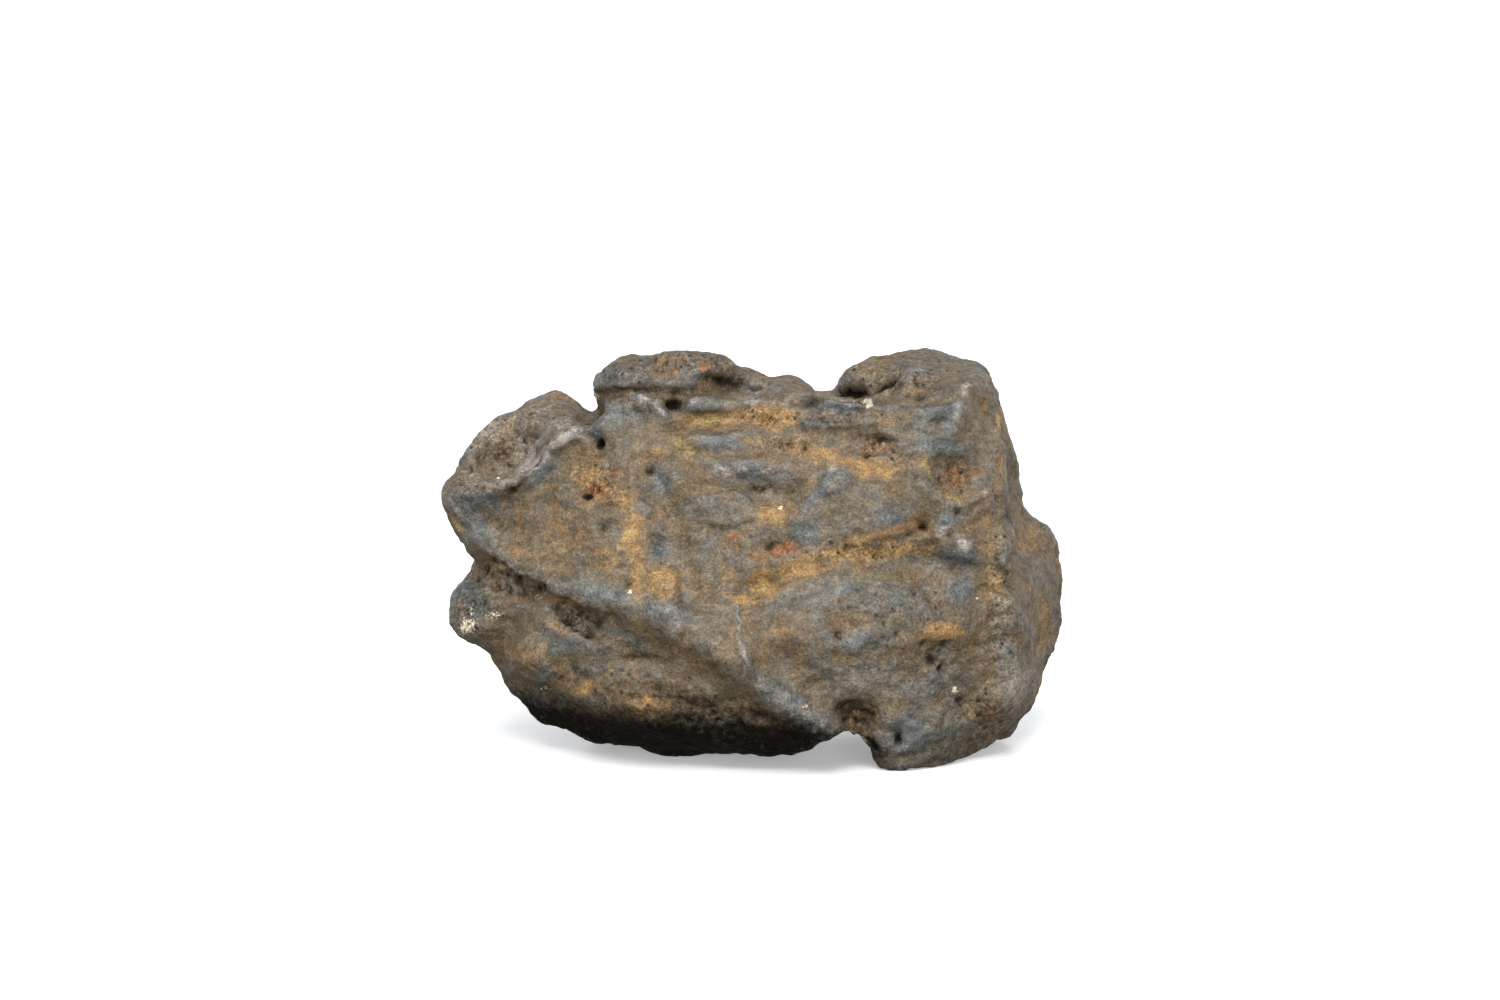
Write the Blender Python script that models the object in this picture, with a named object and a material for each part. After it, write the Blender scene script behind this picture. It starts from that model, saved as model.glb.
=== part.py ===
"""A small iron meteorite, one solid stone.

The stone is laid out in the frame of someone who looks at its front:
u runs to the right, v up and w towards the eye, all in millimetres, from the
middle of the stone. It is built from overlapping lumps, fused to one skin,
carved with swells, dishes, ridges and creases on the front and with melted
thumbprints on the other sides, roughened, and then tipped by SIGHT_TILT so
that +Z is up and the stone rests on its three worn feet.
"""

import math
import random

import bmesh
import bpy
import numpy as np
from mathutils import Matrix, Vector, noise

MM = 0.001

SIGHT_TILT = math.radians(10)  # the front is laid out looking down by this much
FLOOR = -11.9  # mm, height of the ground below the middle of the stone
EYE = 270.0  # mm, from the middle of the stone to the eye that reads the front
EYE_AIM = (-0.1, 3.9)  # mm, the point (u, v) that this eye looks at

SKIN_CELL = 0.38  # mm, side of the cells that the lumps are fused in
SKIN_GAIN = 0.3  # mm, put back on the skin after its edges are rounded
TRIANGLES = 9300  # of the finished stone

SWELL_HEIGHT = 0.28  # mm, of the soft waves all over the skin
SWELL_SIZE = 4.2  # mm
GRAIN_HEIGHT = 0.12  # mm, of the small bumps all over the skin
GRAIN_SIZE = 1.7  # mm

# Corners (u, v, w) in mm of the angular lumps.
MAIN_BLOCK = [
    (-9.6, 9.2, 4.6), (-2.0, 9.9, 5.6), (6.0, 9.9, 6.0), (12.6, 9.8, 7.0),
    (15.6, 8.2, 5.0), (15.9, 0.0, 6.4), (16.2, -8.5, 4.4), (8.5, -11.4, 7.2),
    (4.6, -10.7, 8.2), (-1.4, -6.0, 9.8), (-8.6, -2.6, 8.4), (-14.8, -0.6, 5.2),
    (-19.0, 3.4, 1.6), (-14.0, 6.6, -7.0), (-4.0, 10.4, -9.0), (9.0, 11.0, -8.5),
    (15.4, 8.0, -7.0), (17.6, -2.5, -6.0), (15.6, -10.0, -5.0), (2.0, -10.4, -8.5),
    (-10.0, -9.0, -7.0), (-15.6, -2.0, -6.5), (0.0, 0.0, -12.6), (8.0, 2.0, -12.2),
]
LEFT_SHOULDER = [
    (-19.8, 4.0, 0.6), (-19.3, 5.5, -0.2), (-18.3, 7.0, -0.8), (-16.9, 8.8, -1.4),
    (-14.6, 10.1, -2.2), (-13.0, 10.8, -3.6), (-11.0, 9.9, -2.4), (-10.3, 8.4, 4.2),
    (-12.5, 7.3, 4.2), (-14.8, 5.4, 4.6), (-17.3, 4.4, 3.2), (-19.0, 1.8, 0.8),
    (-17.2, 0.2, 2.4), (-16.6, 2.0, -7.0), (-12.0, 7.0, -9.0), (-8.0, 8.0, -6.0),
]
TOP_RIGHT_BLOCK = [
    (15.0, 12.0, -1.0), (14.3, 12.7, -1.6), (12.5, 13.3, -2.4), (10.6, 13.6, -3.0),
    (8.3, 12.9, -2.6), (6.2, 12.1, -2.0), (5.4, 11.1, -1.6), (6.4, 9.6, -7.6),
    (13.0, 11.2, -8.0), (16.0, 9.6, -5.4), (16.4, 9.0, -2.0), (13.0, 10.8, 5.8),
    (14.8, 10.9, 3.8), (10.4, 10.4, 4.6), (6.0, 9.0, -1.0), (14.0, 6.0, 5.0),
]
RIGHT_SHOULDER = [
    (15.3, 10.9, -2.4), (16.6, 8.4, -2.6), (17.2, 6.2, -3.0), (17.4, 4.2, -3.6),
    (17.4, 0.0, -4.0), (15.7, 8.8, 3.4), (16.0, 4.0, 4.6), (16.2, 0.0, 5.2),
    (15.0, 9.6, -6.0), (13.0, 6.0, -9.0), (14.0, 0.0, -9.0), (12.0, 8.0, 4.0), (12.0, 0.0, 5.0),
]
RIGHT_FLANK = [
    (19.5, 2.3, -4.6), (20.3, 0.2, -5.2), (20.4, -2.6, -5.2), (19.7, -6.4, -4.4),
    (18.6, -8.7, -3.6), (17.2, -10.5, -2.2), (16.3, -11.8, -0.8), (17.4, 3.4, -3.8),
    (16.2, -9.5, 4.0), (16.5, -3.0, 5.0), (15.0, -8.0, -9.0), (13.0, 3.0, -11.0),
    (17.2, -1.0, -9.4), (13.0, -11.2, -3.0), (15.0, 2.0, 2.0),
]
FRONT_FOOT = [
    (8.4, -13.6, 6.4), (10.2, -13.4, 6.0), (12.4, -12.3, 5.2), (16.0, -11.6, 2.4),
    (7.4, -12.8, 6.8), (7.2, -10.6, 7.8), (12.0, -9.4, 6.8), (16.2, -8.4, 4.2),
    (8.6, -11.4, 2.0), (14.0, -11.2, -3.0), (9.6, -12.9, 3.2),
]
BELLY = [
    (-16.6, -5.6, 0.6), (-16.0, -7.8, 0.2), (-14.5, -9.5, 1.0), (-12.0, -11.2, 1.6),
    (-9.0, -11.8, 1.6), (-4.6, -12.1, 1.6), (-2.0, -12.1, 1.0), (2.4, -11.9, 3.8),
    (-14.6, -1.2, 4.6), (-8.6, -3.0, 7.9), (-1.4, -6.4, 9.3), (4.8, -11.1, 7.8),
    (-13.6, -6.6, 5.0), (-9.0, -9.4, 6.2), (-3.0, -10.8, 7.4), (3.6, -12.1, 6.8),
    (-14.0, -5.6, -6.4), (-8.0, -10.2, -6.6), (1.0, -10.8, -7.4),
]
LEFT_WAIST = [
    (-18.2, -0.4, 0.6), (-17.6, -1.0, 2.6), (-13.0, -2.6, 5.0), (-12.0, -6.0, 5.4),
    (-16.8, -5.8, 1.6), (-16.0, -6.0, -4.0), (-16.4, 0.6, -5.0), (-14.0, 0.0, 3.6),
    (-15.4, -7.4, -1.6), (-13.6, -8.2, -5.4), (-14.6, -2.0, -7.0),
]
LIP_TAIL = [
    (0.0, 12.9, -0.4), (1.4, 12.5, -0.6), (3.0, 12.1, -1.2), (3.8, 11.8, -1.6),
    (4.2, 10.2, -1.0), (3.0, 10.4, 4.6), (-1.0, 11.4, 4.0), (-1.0, 9.6, -6.0),
    (4.0, 8.8, -5.0), (0.0, 8.8, 5.0), (5.0, 9.0, 4.0),
]
HULLS = [
    MAIN_BLOCK, LEFT_SHOULDER, TOP_RIGHT_BLOCK, RIGHT_SHOULDER, RIGHT_FLANK,
    FRONT_FOOT, BELLY, LEFT_WAIST, LIP_TAIL,
]

# Centre and radii (u, v, w) in mm of the round lumps.
EGGS = [
    ((-17.1, -3.5, 0.8), (2.5, 2.1, 2.6)),  # knob on the lower left
    ((-7.9, 10.9, 0.4), (2.4, 2.2, 4.8)),  # left end of the rolled lip
    ((-4.0, 10.5, 0.0), (4.5, 3.0, 5.4)),  # crest of the rolled lip
    ((3.0, 0.0, -6.6), (13.0, 8.4, 6.4)),  # swell of the back
    ((-4.7, -11.6, 1.8), (1.8, 1.2, 1.8)),  # nub of the belly that touches the ground
    ((-1.4, -8.0, -7.6), (5.4, 3.1, 3.6)),  # back foot
]

# The front as the eye reads it, all in mm: path (u, v), half width, height. Below zero is a crease.
STROKES = [
    # long lower ridge that ends the front face, and the ridge that joins it
    ([(-19.8, 4.2), (-18.6, 2.4), (-17.4, 0.5), (-15.5, -0.6), (-12.1, -1.9), (-9.2, -2.7), (-6.0, -3.2),
      (-3.4, -4.5), (-1.3, -6.2), (1.1, -8.6), (4.6, -11.0)], 1.0, 0.55),
    ([(-1.3, -2.7), (-0.9, -4.3), (-0.7, -6.1)], 0.7, 0.3),
    # deep cavities under the lower ridge
    ([(-17.9, -0.9), (-16.6, -1.5), (-14.9, -2.1)], 0.7, -1.2),
    ([(-14.7, -2.4), (-12.1, -3.2)], 0.5, -0.5),
    ([(-12.3, -3.1), (-11.3, -3.9), (-10.4, -4.7)], 0.6, -1.0),
    ([(-13.2, -4.1), (-11.6, -5.2), (-9.7, -5.5)], 0.6, 0.3),
    ([(-8.4, -6.1), (-6.0, -6.3)], 0.6, -0.35),
    # shining ridge of the left shoulder and the crease below it
    ([(-10.3, 8.6), (-12.1, 7.9), (-13.7, 6.6), (-15.1, 5.1), (-16.3, 4.5), (-18.4, 4.1)], 0.8, 0.75),
    ([(-11.4, 7.0), (-12.6, 6.0), (-14.2, 4.9), (-15.6, 3.8)], 0.7, -0.5),
    # gap between the shoulder and the rolled lip
    ([(-10.4, 10.0), (-10.7, 8.8), (-9.9, 7.4)], 0.55, -0.7),
    # seam between the two lobes of the lip, and the dark line below them
    ([(-6.4, 13.4), (-6.0, 12.2), (-5.2, 11.4)], 0.5, -0.4),
    ([(-9.7, 10.8), (-7.6, 11.0), (-5.5, 11.2), (-3.9, 11.1)], 0.5, -0.65),
    ([(-5.5, 9.0), (-4.4, 8.9), (-2.3, 9.4)], 0.5, -0.5),
    ([(-6.0, 9.4), (-5.8, 10.4)], 0.5, 0.35),
    ([(-3.9, 10.3), (-1.8, 10.7), (0.3, 10.6), (1.9, 10.8)], 0.6, 0.35),
    # thin lip below the two cavities of the saddle
    ([(5.1, 10.2), (7.7, 9.9), (9.8, 10.8), (10.6, 11.8)], 0.55, 0.5),
    # corner of the horn and the right edge of the front face
    ([(14.8, 12.2), (13.8, 10.3), (12.2, 8.2)], 0.8, 0.55),
    ([(15.3, 10.8), (15.8, 9.0), (15.7, 5.5), (16.2, 2.4), (16.7, -1.6), (17.0, -5.6),
      (16.9, -9.5)], 0.9, 0.4),
    ([(10.9, 5.8), (12.0, 4.2), (13.6, 3.2), (14.6, 3.8)], 0.6, 0.45),
    # ledge in the middle, shade below it, and the ridge that runs down from it
    ([(-2.6, 5.6), (-0.4, 5.9), (1.1, 5.9), (3.5, 5.5)], 0.6, 0.35),
    ([(-1.8, 4.7), (0.8, 4.9), (3.0, 4.6)], 0.8, -0.4),
    ([(6.0, 5.4), (4.6, 4.2), (3.5, 2.9), (3.0, 1.6)], 0.8, 0.45),
    ([(-6.8, 5.8), (-6.3, 4.5), (-5.0, 3.7)], 0.6, -0.45),
    ([(-4.4, 3.2), (-2.8, 3.8), (-0.7, 4.2)], 0.6, 0.3),
    ([(-5.2, 2.4), (-4.7, -0.5), (-3.7, -2.9)], 1.0, -0.4),
    # valley round the boss on the lower right
    ([(-0.4, -2.8), (1.4, -1.5), (3.0, -0.8), (6.9, -0.4), (10.9, -0.3), (12.4, -1.0)], 0.9, -0.45),
]

# Centre (u, v), radii and height in mm of soft swells and dishes of the front.
DOMES = [
    ((7.2, -4.8), (8.0, 5.4), 1.1),  # boss on the lower right
    ((13.3, 1.0), (1.8, 1.4), 0.8),  # small boss beside it
    ((-14.5, -6.4), (2.6, 1.9), 0.5),
    ((-6.8, -8.6), (6.0, 2.8), 0.8),  # roll of the belly
    ((-5.7, -1.3), (1.6, 1.4), 0.45),
    ((-9.2, 0.4), (3.2, 2.4), 0.4),
    ((-8.6, 5.2), (2.6, 2.4), 0.35),
    ((0.6, -0.4), (2.4, 1.6), 0.35),
    ((-2.3, 7.9), (2.4, 0.9), 0.35),
    ((5.6, 9.0), (3.4, 1.0), 0.5),
    ((0.4, 2.2), (2.6, 1.8), 0.3),
    ((8.2, 3.0), (3.6, 2.4), 0.35),
    ((-14.9, 7.0), (2.2, 1.9), -1.1),  # smooth scoop of the shoulder
    ((-14.2, 1.8), (4.0, 2.2), -0.55),
    ((-2.6, 11.4), (1.7, 0.8), -1.2),  # dark hollows of the lip
    ((-0.5, 11.7), (1.7, 0.7), -1.1),
    ((-5.0, 10.0), (1.0, 0.8), -1.1),
    ((-0.2, 9.0), (4.6, 1.1), -0.45),
    ((6.4, 10.8), (1.5, 0.7), -1.5),  # cavities of the saddle
    ((8.5, 11.4), (1.4, 0.6), -1.3),
    ((10.9, 8.2), (2.4, 1.8), -0.6),  # facet beside the horn
    ((13.0, 5.4), (2.2, 1.7), -0.6),
    ((11.3, 2.5), (0.8, 0.7), -0.6),
    ((-16.4, 6.0), (0.8, 0.6), -0.5),
    ((5.4, 2.4), (1.6, 1.4), -0.3),
    ((2.2, -6.6), (1.5, 1.9), -0.45),
    ((6.0, -4.2), (2.2, 1.2), -0.35),
    ((11.7, -5.8), (1.5, 1.2), -0.55),
    ((9.1, -8.4), (2.2, 1.2), -0.35),
    ((6.9, -10.4), (1.5, 1.6), -1.6),  # cavity above the front foot
    ((9.1, -11.4), (0.8, 0.8), -0.7),
    ((13.8, -9.6), (1.6, 1.2), -0.4),
]

# Melted thumbprints of the sides away from the front: how many, and their sizes.
PRINT_SEED = 11
PRINTS = 64
PRINT_RADIUS = (2.6, 5.4)
PRINT_DEPTH = (0.6, 1.7)
SMALL_PITS = 30
SMALL_PIT_RADIUS = (0.9, 1.7)
SMALL_PIT_DEPTH = (0.25, 0.55)
FEET = [(10.0, -13.4, 5.6), (-4.7, -12.6, 1.8), (-1.2, -11.0, -8.2)]
FOOT_REACH = 3.4  # mm, around each foot, left without thumbprints

RUSTY_CRUST = (0.115, 0.088, 0.062, 1.0)
CRUST_ROUGHNESS = 0.5
CRUST_METALLIC = 0.35


def clear_scene():
    for old in list(bpy.data.objects):
        bpy.data.objects.remove(old)


def add_hull(bm, corners):
    made = bmesh.new()
    for corner in corners:
        made.verts.new(corner)
    result = bmesh.ops.convex_hull(made, input=made.verts)
    inside = [item for item in result["geom_interior"] if isinstance(item, bmesh.types.BMVert)]
    bmesh.ops.delete(made, geom=inside, context="VERTS")
    bmesh.ops.recalc_face_normals(made, faces=made.faces)
    shell = bpy.data.meshes.new("hull")
    made.to_mesh(shell)
    made.free()
    bm.from_mesh(shell)


def add_egg(bm, centre, radii):
    place = Matrix.Translation(centre) @ Matrix.Diagonal((*radii, 1.0))
    bmesh.ops.create_icosphere(bm, subdivisions=4, radius=1.0, matrix=place)


def baked(stone):
    """Replaces the stone's mesh by what its modifiers make of it."""
    graph = bpy.context.evaluated_depsgraph_get()
    mesh = bpy.data.meshes.new_from_object(stone.evaluated_get(graph))
    stone.modifiers.clear()
    stone.data = mesh


def add_softening(stone, rounds):
    soften = stone.modifiers.new("soften", "SMOOTH")
    soften.factor = 0.5
    soften.iterations = rounds


def add_even_skin(stone):
    skin = stone.modifiers.new("skin", "REMESH")
    skin.mode = "VOXEL"
    skin.voxel_size = SKIN_CELL


def fused_lumps():
    """All lumps as one closed skin of even cells."""
    bm = bmesh.new()
    for corners in HULLS:
        add_hull(bm, corners)
    for centre, radii in EGGS:
        add_egg(bm, centre, radii)
    mesh = bpy.data.meshes.new("meteorite")
    bm.to_mesh(mesh)
    bm.free()
    stone = bpy.data.objects.new("meteorite", mesh)
    bpy.context.collection.objects.link(stone)
    add_even_skin(stone)
    add_softening(stone, 6)
    regain = stone.modifiers.new("regain", "DISPLACE")
    regain.mid_level = 0.0
    regain.strength = SKIN_GAIN
    baked(stone)
    return stone


def skin_arrays(stone):
    """The skin's points and outward normals, one row each."""
    count = len(stone.data.vertices)
    points = np.empty(count * 3, dtype=np.float32)
    stone.data.vertices.foreach_get("co", points)
    normals = np.empty(count * 3, dtype=np.float32)
    stone.data.vertex_normals.foreach_get("vector", normals)
    return points.reshape(-1, 3), normals.reshape(-1, 3)


def move_skin(stone, heights):
    """Moves every point of the skin along its normal."""
    points, normals = skin_arrays(stone)
    points += normals * heights[:, None]
    stone.data.vertices.foreach_set("co", points.ravel())
    stone.data.update()


def read_by_eye(points):
    """Where the eye sees each point, on the plane w = 0."""
    aim = np.array(EYE_AIM)
    return aim + (points[:, :2] - aim) * (EYE / (EYE - points[:, 2:3]))


def gap_to_path(seen, path):
    nearest = np.full(len(seen), np.inf)
    for start, end in zip(path, path[1:]):
        step = np.subtract(end, start)
        along = np.clip((seen - start) @ step / (step @ step), 0.0, 1.0)
        gap = np.linalg.norm(seen - start - along[:, None] * step, axis=1)
        nearest = np.minimum(nearest, gap)
    return nearest


def front_share(points, normals):
    """1 where the skin faces the eye, 0 where it is turned away."""
    to_eye = np.array((*EYE_AIM, EYE)) - points
    to_eye /= np.linalg.norm(to_eye, axis=1)[:, None]
    facing = np.clip(((normals * to_eye).sum(axis=1) + 0.05) / 0.35, 0.0, 1.0)
    return facing * facing * (3 - 2 * facing)


def carve_front(stone):
    points, normals = skin_arrays(stone)
    seen = read_by_eye(points)
    heights = np.zeros(len(points))
    for path, half_width, height in STROKES:
        heights += height * np.exp(-((gap_to_path(seen, path) / half_width) ** 2))
    for centre, radii, height in DOMES:
        reach = (((seen - centre) / radii) ** 2).sum(axis=1)
        heights += height * np.clip(1.0 - reach, 0.0, 1.0) ** 1.5
    move_skin(stone, heights * front_share(points, normals))


def carve_prints(stone):
    """Dishes with sharp ridges between them, on every side but the front, each pressed in one way."""
    points, normals = skin_arrays(stone)
    away = 1.0 - front_share(points, normals)
    for foot in FEET:
        away *= np.clip(np.linalg.norm(points - foot, axis=1) / FOOT_REACH - 0.5, 0.0, 1.0)
    hidden = np.flatnonzero(away > 0.6)
    bearings = points[hidden] / np.linalg.norm(points[hidden], axis=1)[:, None]
    rng = random.Random(PRINT_SEED)
    for count, radius_range, depth_range in (
        (PRINTS, PRINT_RADIUS, PRINT_DEPTH),
        (SMALL_PITS, SMALL_PIT_RADIUS, SMALL_PIT_DEPTH),
    ):
        depths = np.zeros(len(points))
        ways = np.zeros_like(points)
        for _ in range(count):
            bearing = [rng.gauss(0.0, 1.0) for _ in range(3)]
            middle = hidden[np.argmax(bearings @ bearing)]
            radius = rng.uniform(*radius_range)
            depth = rng.uniform(*depth_range)
            reach = np.linalg.norm(points - points[middle], axis=1) / radius
            open_to_it = np.clip(normals @ normals[middle] * 2.0, 0.0, 1.0)
            pressed = depth * np.clip(1.0 - reach**2, 0.0, 1.0) * open_to_it * away
            ways[pressed > depths] = normals[middle]
            depths = np.maximum(depths, pressed)
        points = points - ways * depths[:, None]
    stone.data.vertices.foreach_set("co", points.ravel())
    stone.data.update()


def roughen(stone):
    points, _ = skin_arrays(stone)
    heights = np.empty(len(points))
    for index, point in enumerate(points):
        place = Vector(point)
        wave = noise.fractal(place / SWELL_SIZE, 0.9, 2.1, 3)
        grain = noise.fractal(place / GRAIN_SIZE + Vector((7, 3, 1)), 0.8, 2.0, 2)
        heights[index] = SWELL_HEIGHT * wave + GRAIN_HEIGHT * grain
    move_skin(stone, heights)


def thin_out(stone):
    triangles = sum(len(face.vertices) - 2 for face in stone.data.polygons)
    thin = stone.modifiers.new("thin", "DECIMATE")
    thin.ratio = TRIANGLES / triangles
    baked(stone)


def tip_to_ground(stone):
    """Turns the stone to +Z up, grinds its feet flat on the ground and sizes it in metres."""
    bm = bmesh.new()
    bm.from_mesh(stone.data)
    bm.transform(Matrix.Rotation(math.pi / 2 - SIGHT_TILT, 4, "X"))
    bm.transform(Matrix.Translation((0, 0, -FLOOR)))
    cut = bmesh.ops.bisect_plane(
        bm,
        geom=bm.verts[:] + bm.edges[:] + bm.faces[:],
        dist=1e-4,
        plane_co=(0, 0, 0),
        plane_no=(0, 0, -1),
        clear_outer=True,
    )
    rim = [item for item in cut["geom_cut"] if isinstance(item, bmesh.types.BMEdge)]
    bmesh.ops.edgeloop_fill(bm, edges=rim)
    bmesh.ops.triangulate(bm, faces=bm.faces)
    bmesh.ops.recalc_face_normals(bm, faces=bm.faces)
    low = Vector([min(vert.co[axis] for vert in bm.verts) for axis in range(3)])
    high = Vector([max(vert.co[axis] for vert in bm.verts) for axis in range(3)])
    middle = (low + high) / 2
    bm.transform(Matrix.Translation((-middle.x, -middle.y, 0)))
    bm.transform(Matrix.Scale(MM, 4))
    bm.to_mesh(stone.data)
    bm.free()


def add_crust(stone):
    crust = bpy.data.materials.new("rusty_iron_crust")
    crust.use_nodes = True
    shader = crust.node_tree.nodes["Principled BSDF"]
    shader.inputs["Base Color"].default_value = RUSTY_CRUST
    shader.inputs["Roughness"].default_value = CRUST_ROUGHNESS
    shader.inputs["Metallic"].default_value = CRUST_METALLIC
    stone.data.materials.append(crust)
    stone.data.shade_smooth()


def main():
    clear_scene()
    stone = fused_lumps()
    carve_front(stone)
    carve_prints(stone)
    add_even_skin(stone)
    add_softening(stone, 2)
    baked(stone)
    roughen(stone)
    thin_out(stone)
    tip_to_ground(stone)
    add_crust(stone)


main()
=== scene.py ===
# %% [markdown]
# # A weathered iron meteorite
# The real thing is a lump of nickel-iron about 40 mm long. Its flight through the air melted dishes and
# ridges into it, and years in the ground gave it a brown-grey crust with ochre rust in the hollows.
# One stone is one mesh here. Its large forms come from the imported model, and everything finer than about
# one millimetre is sculpted onto them in this lesson: first relief, then colour, then gloss.

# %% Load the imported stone
import math
import random

import bpy
import numpy as np
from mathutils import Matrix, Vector, noise
from mathutils.bvhtree import BVHTree


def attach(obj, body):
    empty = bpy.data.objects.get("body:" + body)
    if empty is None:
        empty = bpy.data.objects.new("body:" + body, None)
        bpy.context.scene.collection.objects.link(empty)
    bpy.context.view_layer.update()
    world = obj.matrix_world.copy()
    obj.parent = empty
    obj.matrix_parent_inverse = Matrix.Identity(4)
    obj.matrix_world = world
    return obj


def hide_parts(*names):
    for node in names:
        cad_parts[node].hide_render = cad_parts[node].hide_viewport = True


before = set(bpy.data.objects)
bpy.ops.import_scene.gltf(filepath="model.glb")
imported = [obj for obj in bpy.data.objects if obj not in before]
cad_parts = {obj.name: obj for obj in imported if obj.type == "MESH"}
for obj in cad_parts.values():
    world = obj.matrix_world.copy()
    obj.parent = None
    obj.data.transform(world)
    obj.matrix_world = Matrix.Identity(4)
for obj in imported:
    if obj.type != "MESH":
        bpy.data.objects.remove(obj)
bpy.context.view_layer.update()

MM = 0.001

# %% [markdown]
# ## The camera that saw the stone
# The photograph is a close-up from slightly above. The same camera is set up first, because the finer
# marks are easiest to place where it saw them: a mark is named by its pixel in the 1500 by 1000 picture
# and lands on the skin that this pixel's ray meets. A long lens keeps the perspective as weak as it is
# in the photograph.

# %% Set up the camera
PICTURE = (1500, 1000)
LENS = 100.0
SENSOR = 36.0
TILT = math.radians(10)
RANGE = 270 * MM
AIM_RIGHT = -0.1 * MM
AIM_UP = 3.9 * MM
STONE_MIDDLE = Vector((-0.22, -0.68, 11.9)) * MM
CLIP_START = 0.01

right = Vector((1, 0, 0))
towards = Vector((0, -math.cos(TILT), math.sin(TILT)))
up = Vector((0, math.sin(TILT), math.cos(TILT)))
eye = STONE_MIDDLE + right * AIM_RIGHT + up * AIM_UP + towards * RANGE

camera_data = bpy.data.cameras.new("close_up")
camera_data.lens = LENS
camera_data.sensor_width = SENSOR
camera_data.clip_start = CLIP_START
camera = bpy.data.objects.new("close_up", camera_data)
camera.location = eye
camera.rotation_euler = towards.to_track_quat("Z", "Y").to_euler()
bpy.context.collection.objects.link(camera)
bpy.context.scene.camera = camera
PIXELS_PER_SLOPE = LENS / SENSOR * PICTURE[0]
print("one pixel is", round(RANGE / PIXELS_PER_SLOPE / MM, 4), "mm at the stone")

# %% [markdown]
# ## A fine, even skin
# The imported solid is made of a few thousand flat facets. Voxel remeshing lays a new skin of small even
# quads over it, and a little smoothing melts the facet edges. A subdivision surface would do too, but
# its quads would be as uneven as the facets, and fine pits need the same resolution everywhere.

# %% Lay the skin
SKIN_CELL = 0.215 * MM
MELT_STRENGTH = 0.5
MELT_ROUNDS = 5

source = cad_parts["meteorite"]
stone = bpy.data.objects.new("stone", source.data.copy())
bpy.context.collection.objects.link(stone)
stone.data.materials.clear()
skin = stone.modifiers.new("skin", "REMESH")
skin.mode = "VOXEL"
skin.voxel_size = SKIN_CELL
melt = stone.modifiers.new("melt", "SMOOTH")
melt.factor = MELT_STRENGTH
melt.iterations = MELT_ROUNDS
graph = bpy.context.evaluated_depsgraph_get()
stone.data = bpy.data.meshes.new_from_object(stone.evaluated_get(graph))
stone.modifiers.clear()
stone.data.shade_smooth()
count = len(stone.data.vertices)
print("skin:", count, "points,", sum(len(face.vertices) - 2 for face in stone.data.polygons), "triangles")

# %% [markdown]
# ## Sculpting tools
# A displacement is a height for each point, pushed along the skin's normal. Four helpers are enough: two
# read where the skin is and where it faces, one spreads a value over neighbouring points, and one pushes
# the skin. A displace modifier could push too, but it couldn't tell where the camera looks.

# %% Read and move the skin
ends = np.empty(len(stone.data.edges) * 2, dtype=np.int32)
stone.data.edges.foreach_get("vertices", ends)
ends = ends.reshape(-1, 2)
neighbours = np.bincount(ends.ravel(), minlength=count)


def skin_points():
    points = np.empty(count * 3, dtype=np.float32)
    stone.data.vertices.foreach_get("co", points)
    return points.reshape(-1, 3).astype(float) / MM


def skin_normals():
    normals = np.empty(count * 3, dtype=np.float32)
    stone.data.vertex_normals.foreach_get("vector", normals)
    return normals.reshape(-1, 3).astype(float)


def spread(values, rounds):
    """Averages a value with that of the neighbouring points, again and again."""
    for _ in range(rounds):
        shared = np.bincount(ends[:, 0], weights=values[ends[:, 1]], minlength=count)
        shared += np.bincount(ends[:, 1], weights=values[ends[:, 0]], minlength=count)
        values = (values + shared / neighbours) / 2
    return values


def raise_skin(heights):
    """Moves each point by its height in mm along the normal, and keeps the feet flat on the ground."""
    points = skin_points() + skin_normals() * heights[:, None]
    points[:, 2] = np.maximum(points[:, 2], 0.0)
    stone.data.vertices.foreach_set("co", (points * MM).ravel())
    stone.data.update()


print("each point has", round(neighbours.mean(), 2), "neighbours")

# %% [markdown]
# ## Where the camera sees each point
# Every point of the skin gets its pixel, and a share from 0 to 1 that says how well the camera sees it:
# 1 where the skin faces the lens with nothing in front, 0 on the hidden sides. Marks that are placed by
# pixel are weighted by this share, so that they don't print through to the back.

# %% Find the pixel of each point
points = skin_points() * MM
offset = points - np.array(eye)
depth = -(offset @ np.array(towards))
pixel = np.empty((count, 2))
pixel[:, 0] = PICTURE[0] / 2 + offset @ np.array(right) / depth * PIXELS_PER_SLOPE
pixel[:, 1] = PICTURE[1] / 2 - offset @ np.array(up) / depth * PIXELS_PER_SLOPE
print("skin in the picture:", pixel.min(axis=0).round(), pixel.max(axis=0).round())

# %% Find the share of each point
EDGE_LEEWAY = 0.02  # a point may face this little away from the lens and still be marked
FULL_FACING = 0.3  # a point that faces the lens by this much or more is marked in full
RAY_GAP = 0.35 * MM  # a ray ends this far in front of its point, so that the point doesn't hide itself
SHARE_ROUNDS = 3

sight = -offset / np.linalg.norm(offset, axis=1)[:, None]
facing = np.clip(((skin_normals() * sight).sum(axis=1) + EDGE_LEEWAY) / FULL_FACING, 0, 1)
faces = [tuple(face.vertices) for face in stone.data.polygons]
tree = BVHTree.FromPolygons([Vector(point) for point in points], faces)
share = np.zeros(count)
for index in np.flatnonzero(facing > 0):
    ray = Vector(points[index]) - eye
    hit = tree.ray_cast(eye, ray.normalized(), ray.length - RAY_GAP)
    if hit[0] is None:
        share[index] = facing[index]
share = spread(share, SHARE_ROUNDS)
print("seen by the camera:", round(float((share > 0.5).mean()) * 100), "percent of the points")

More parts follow.
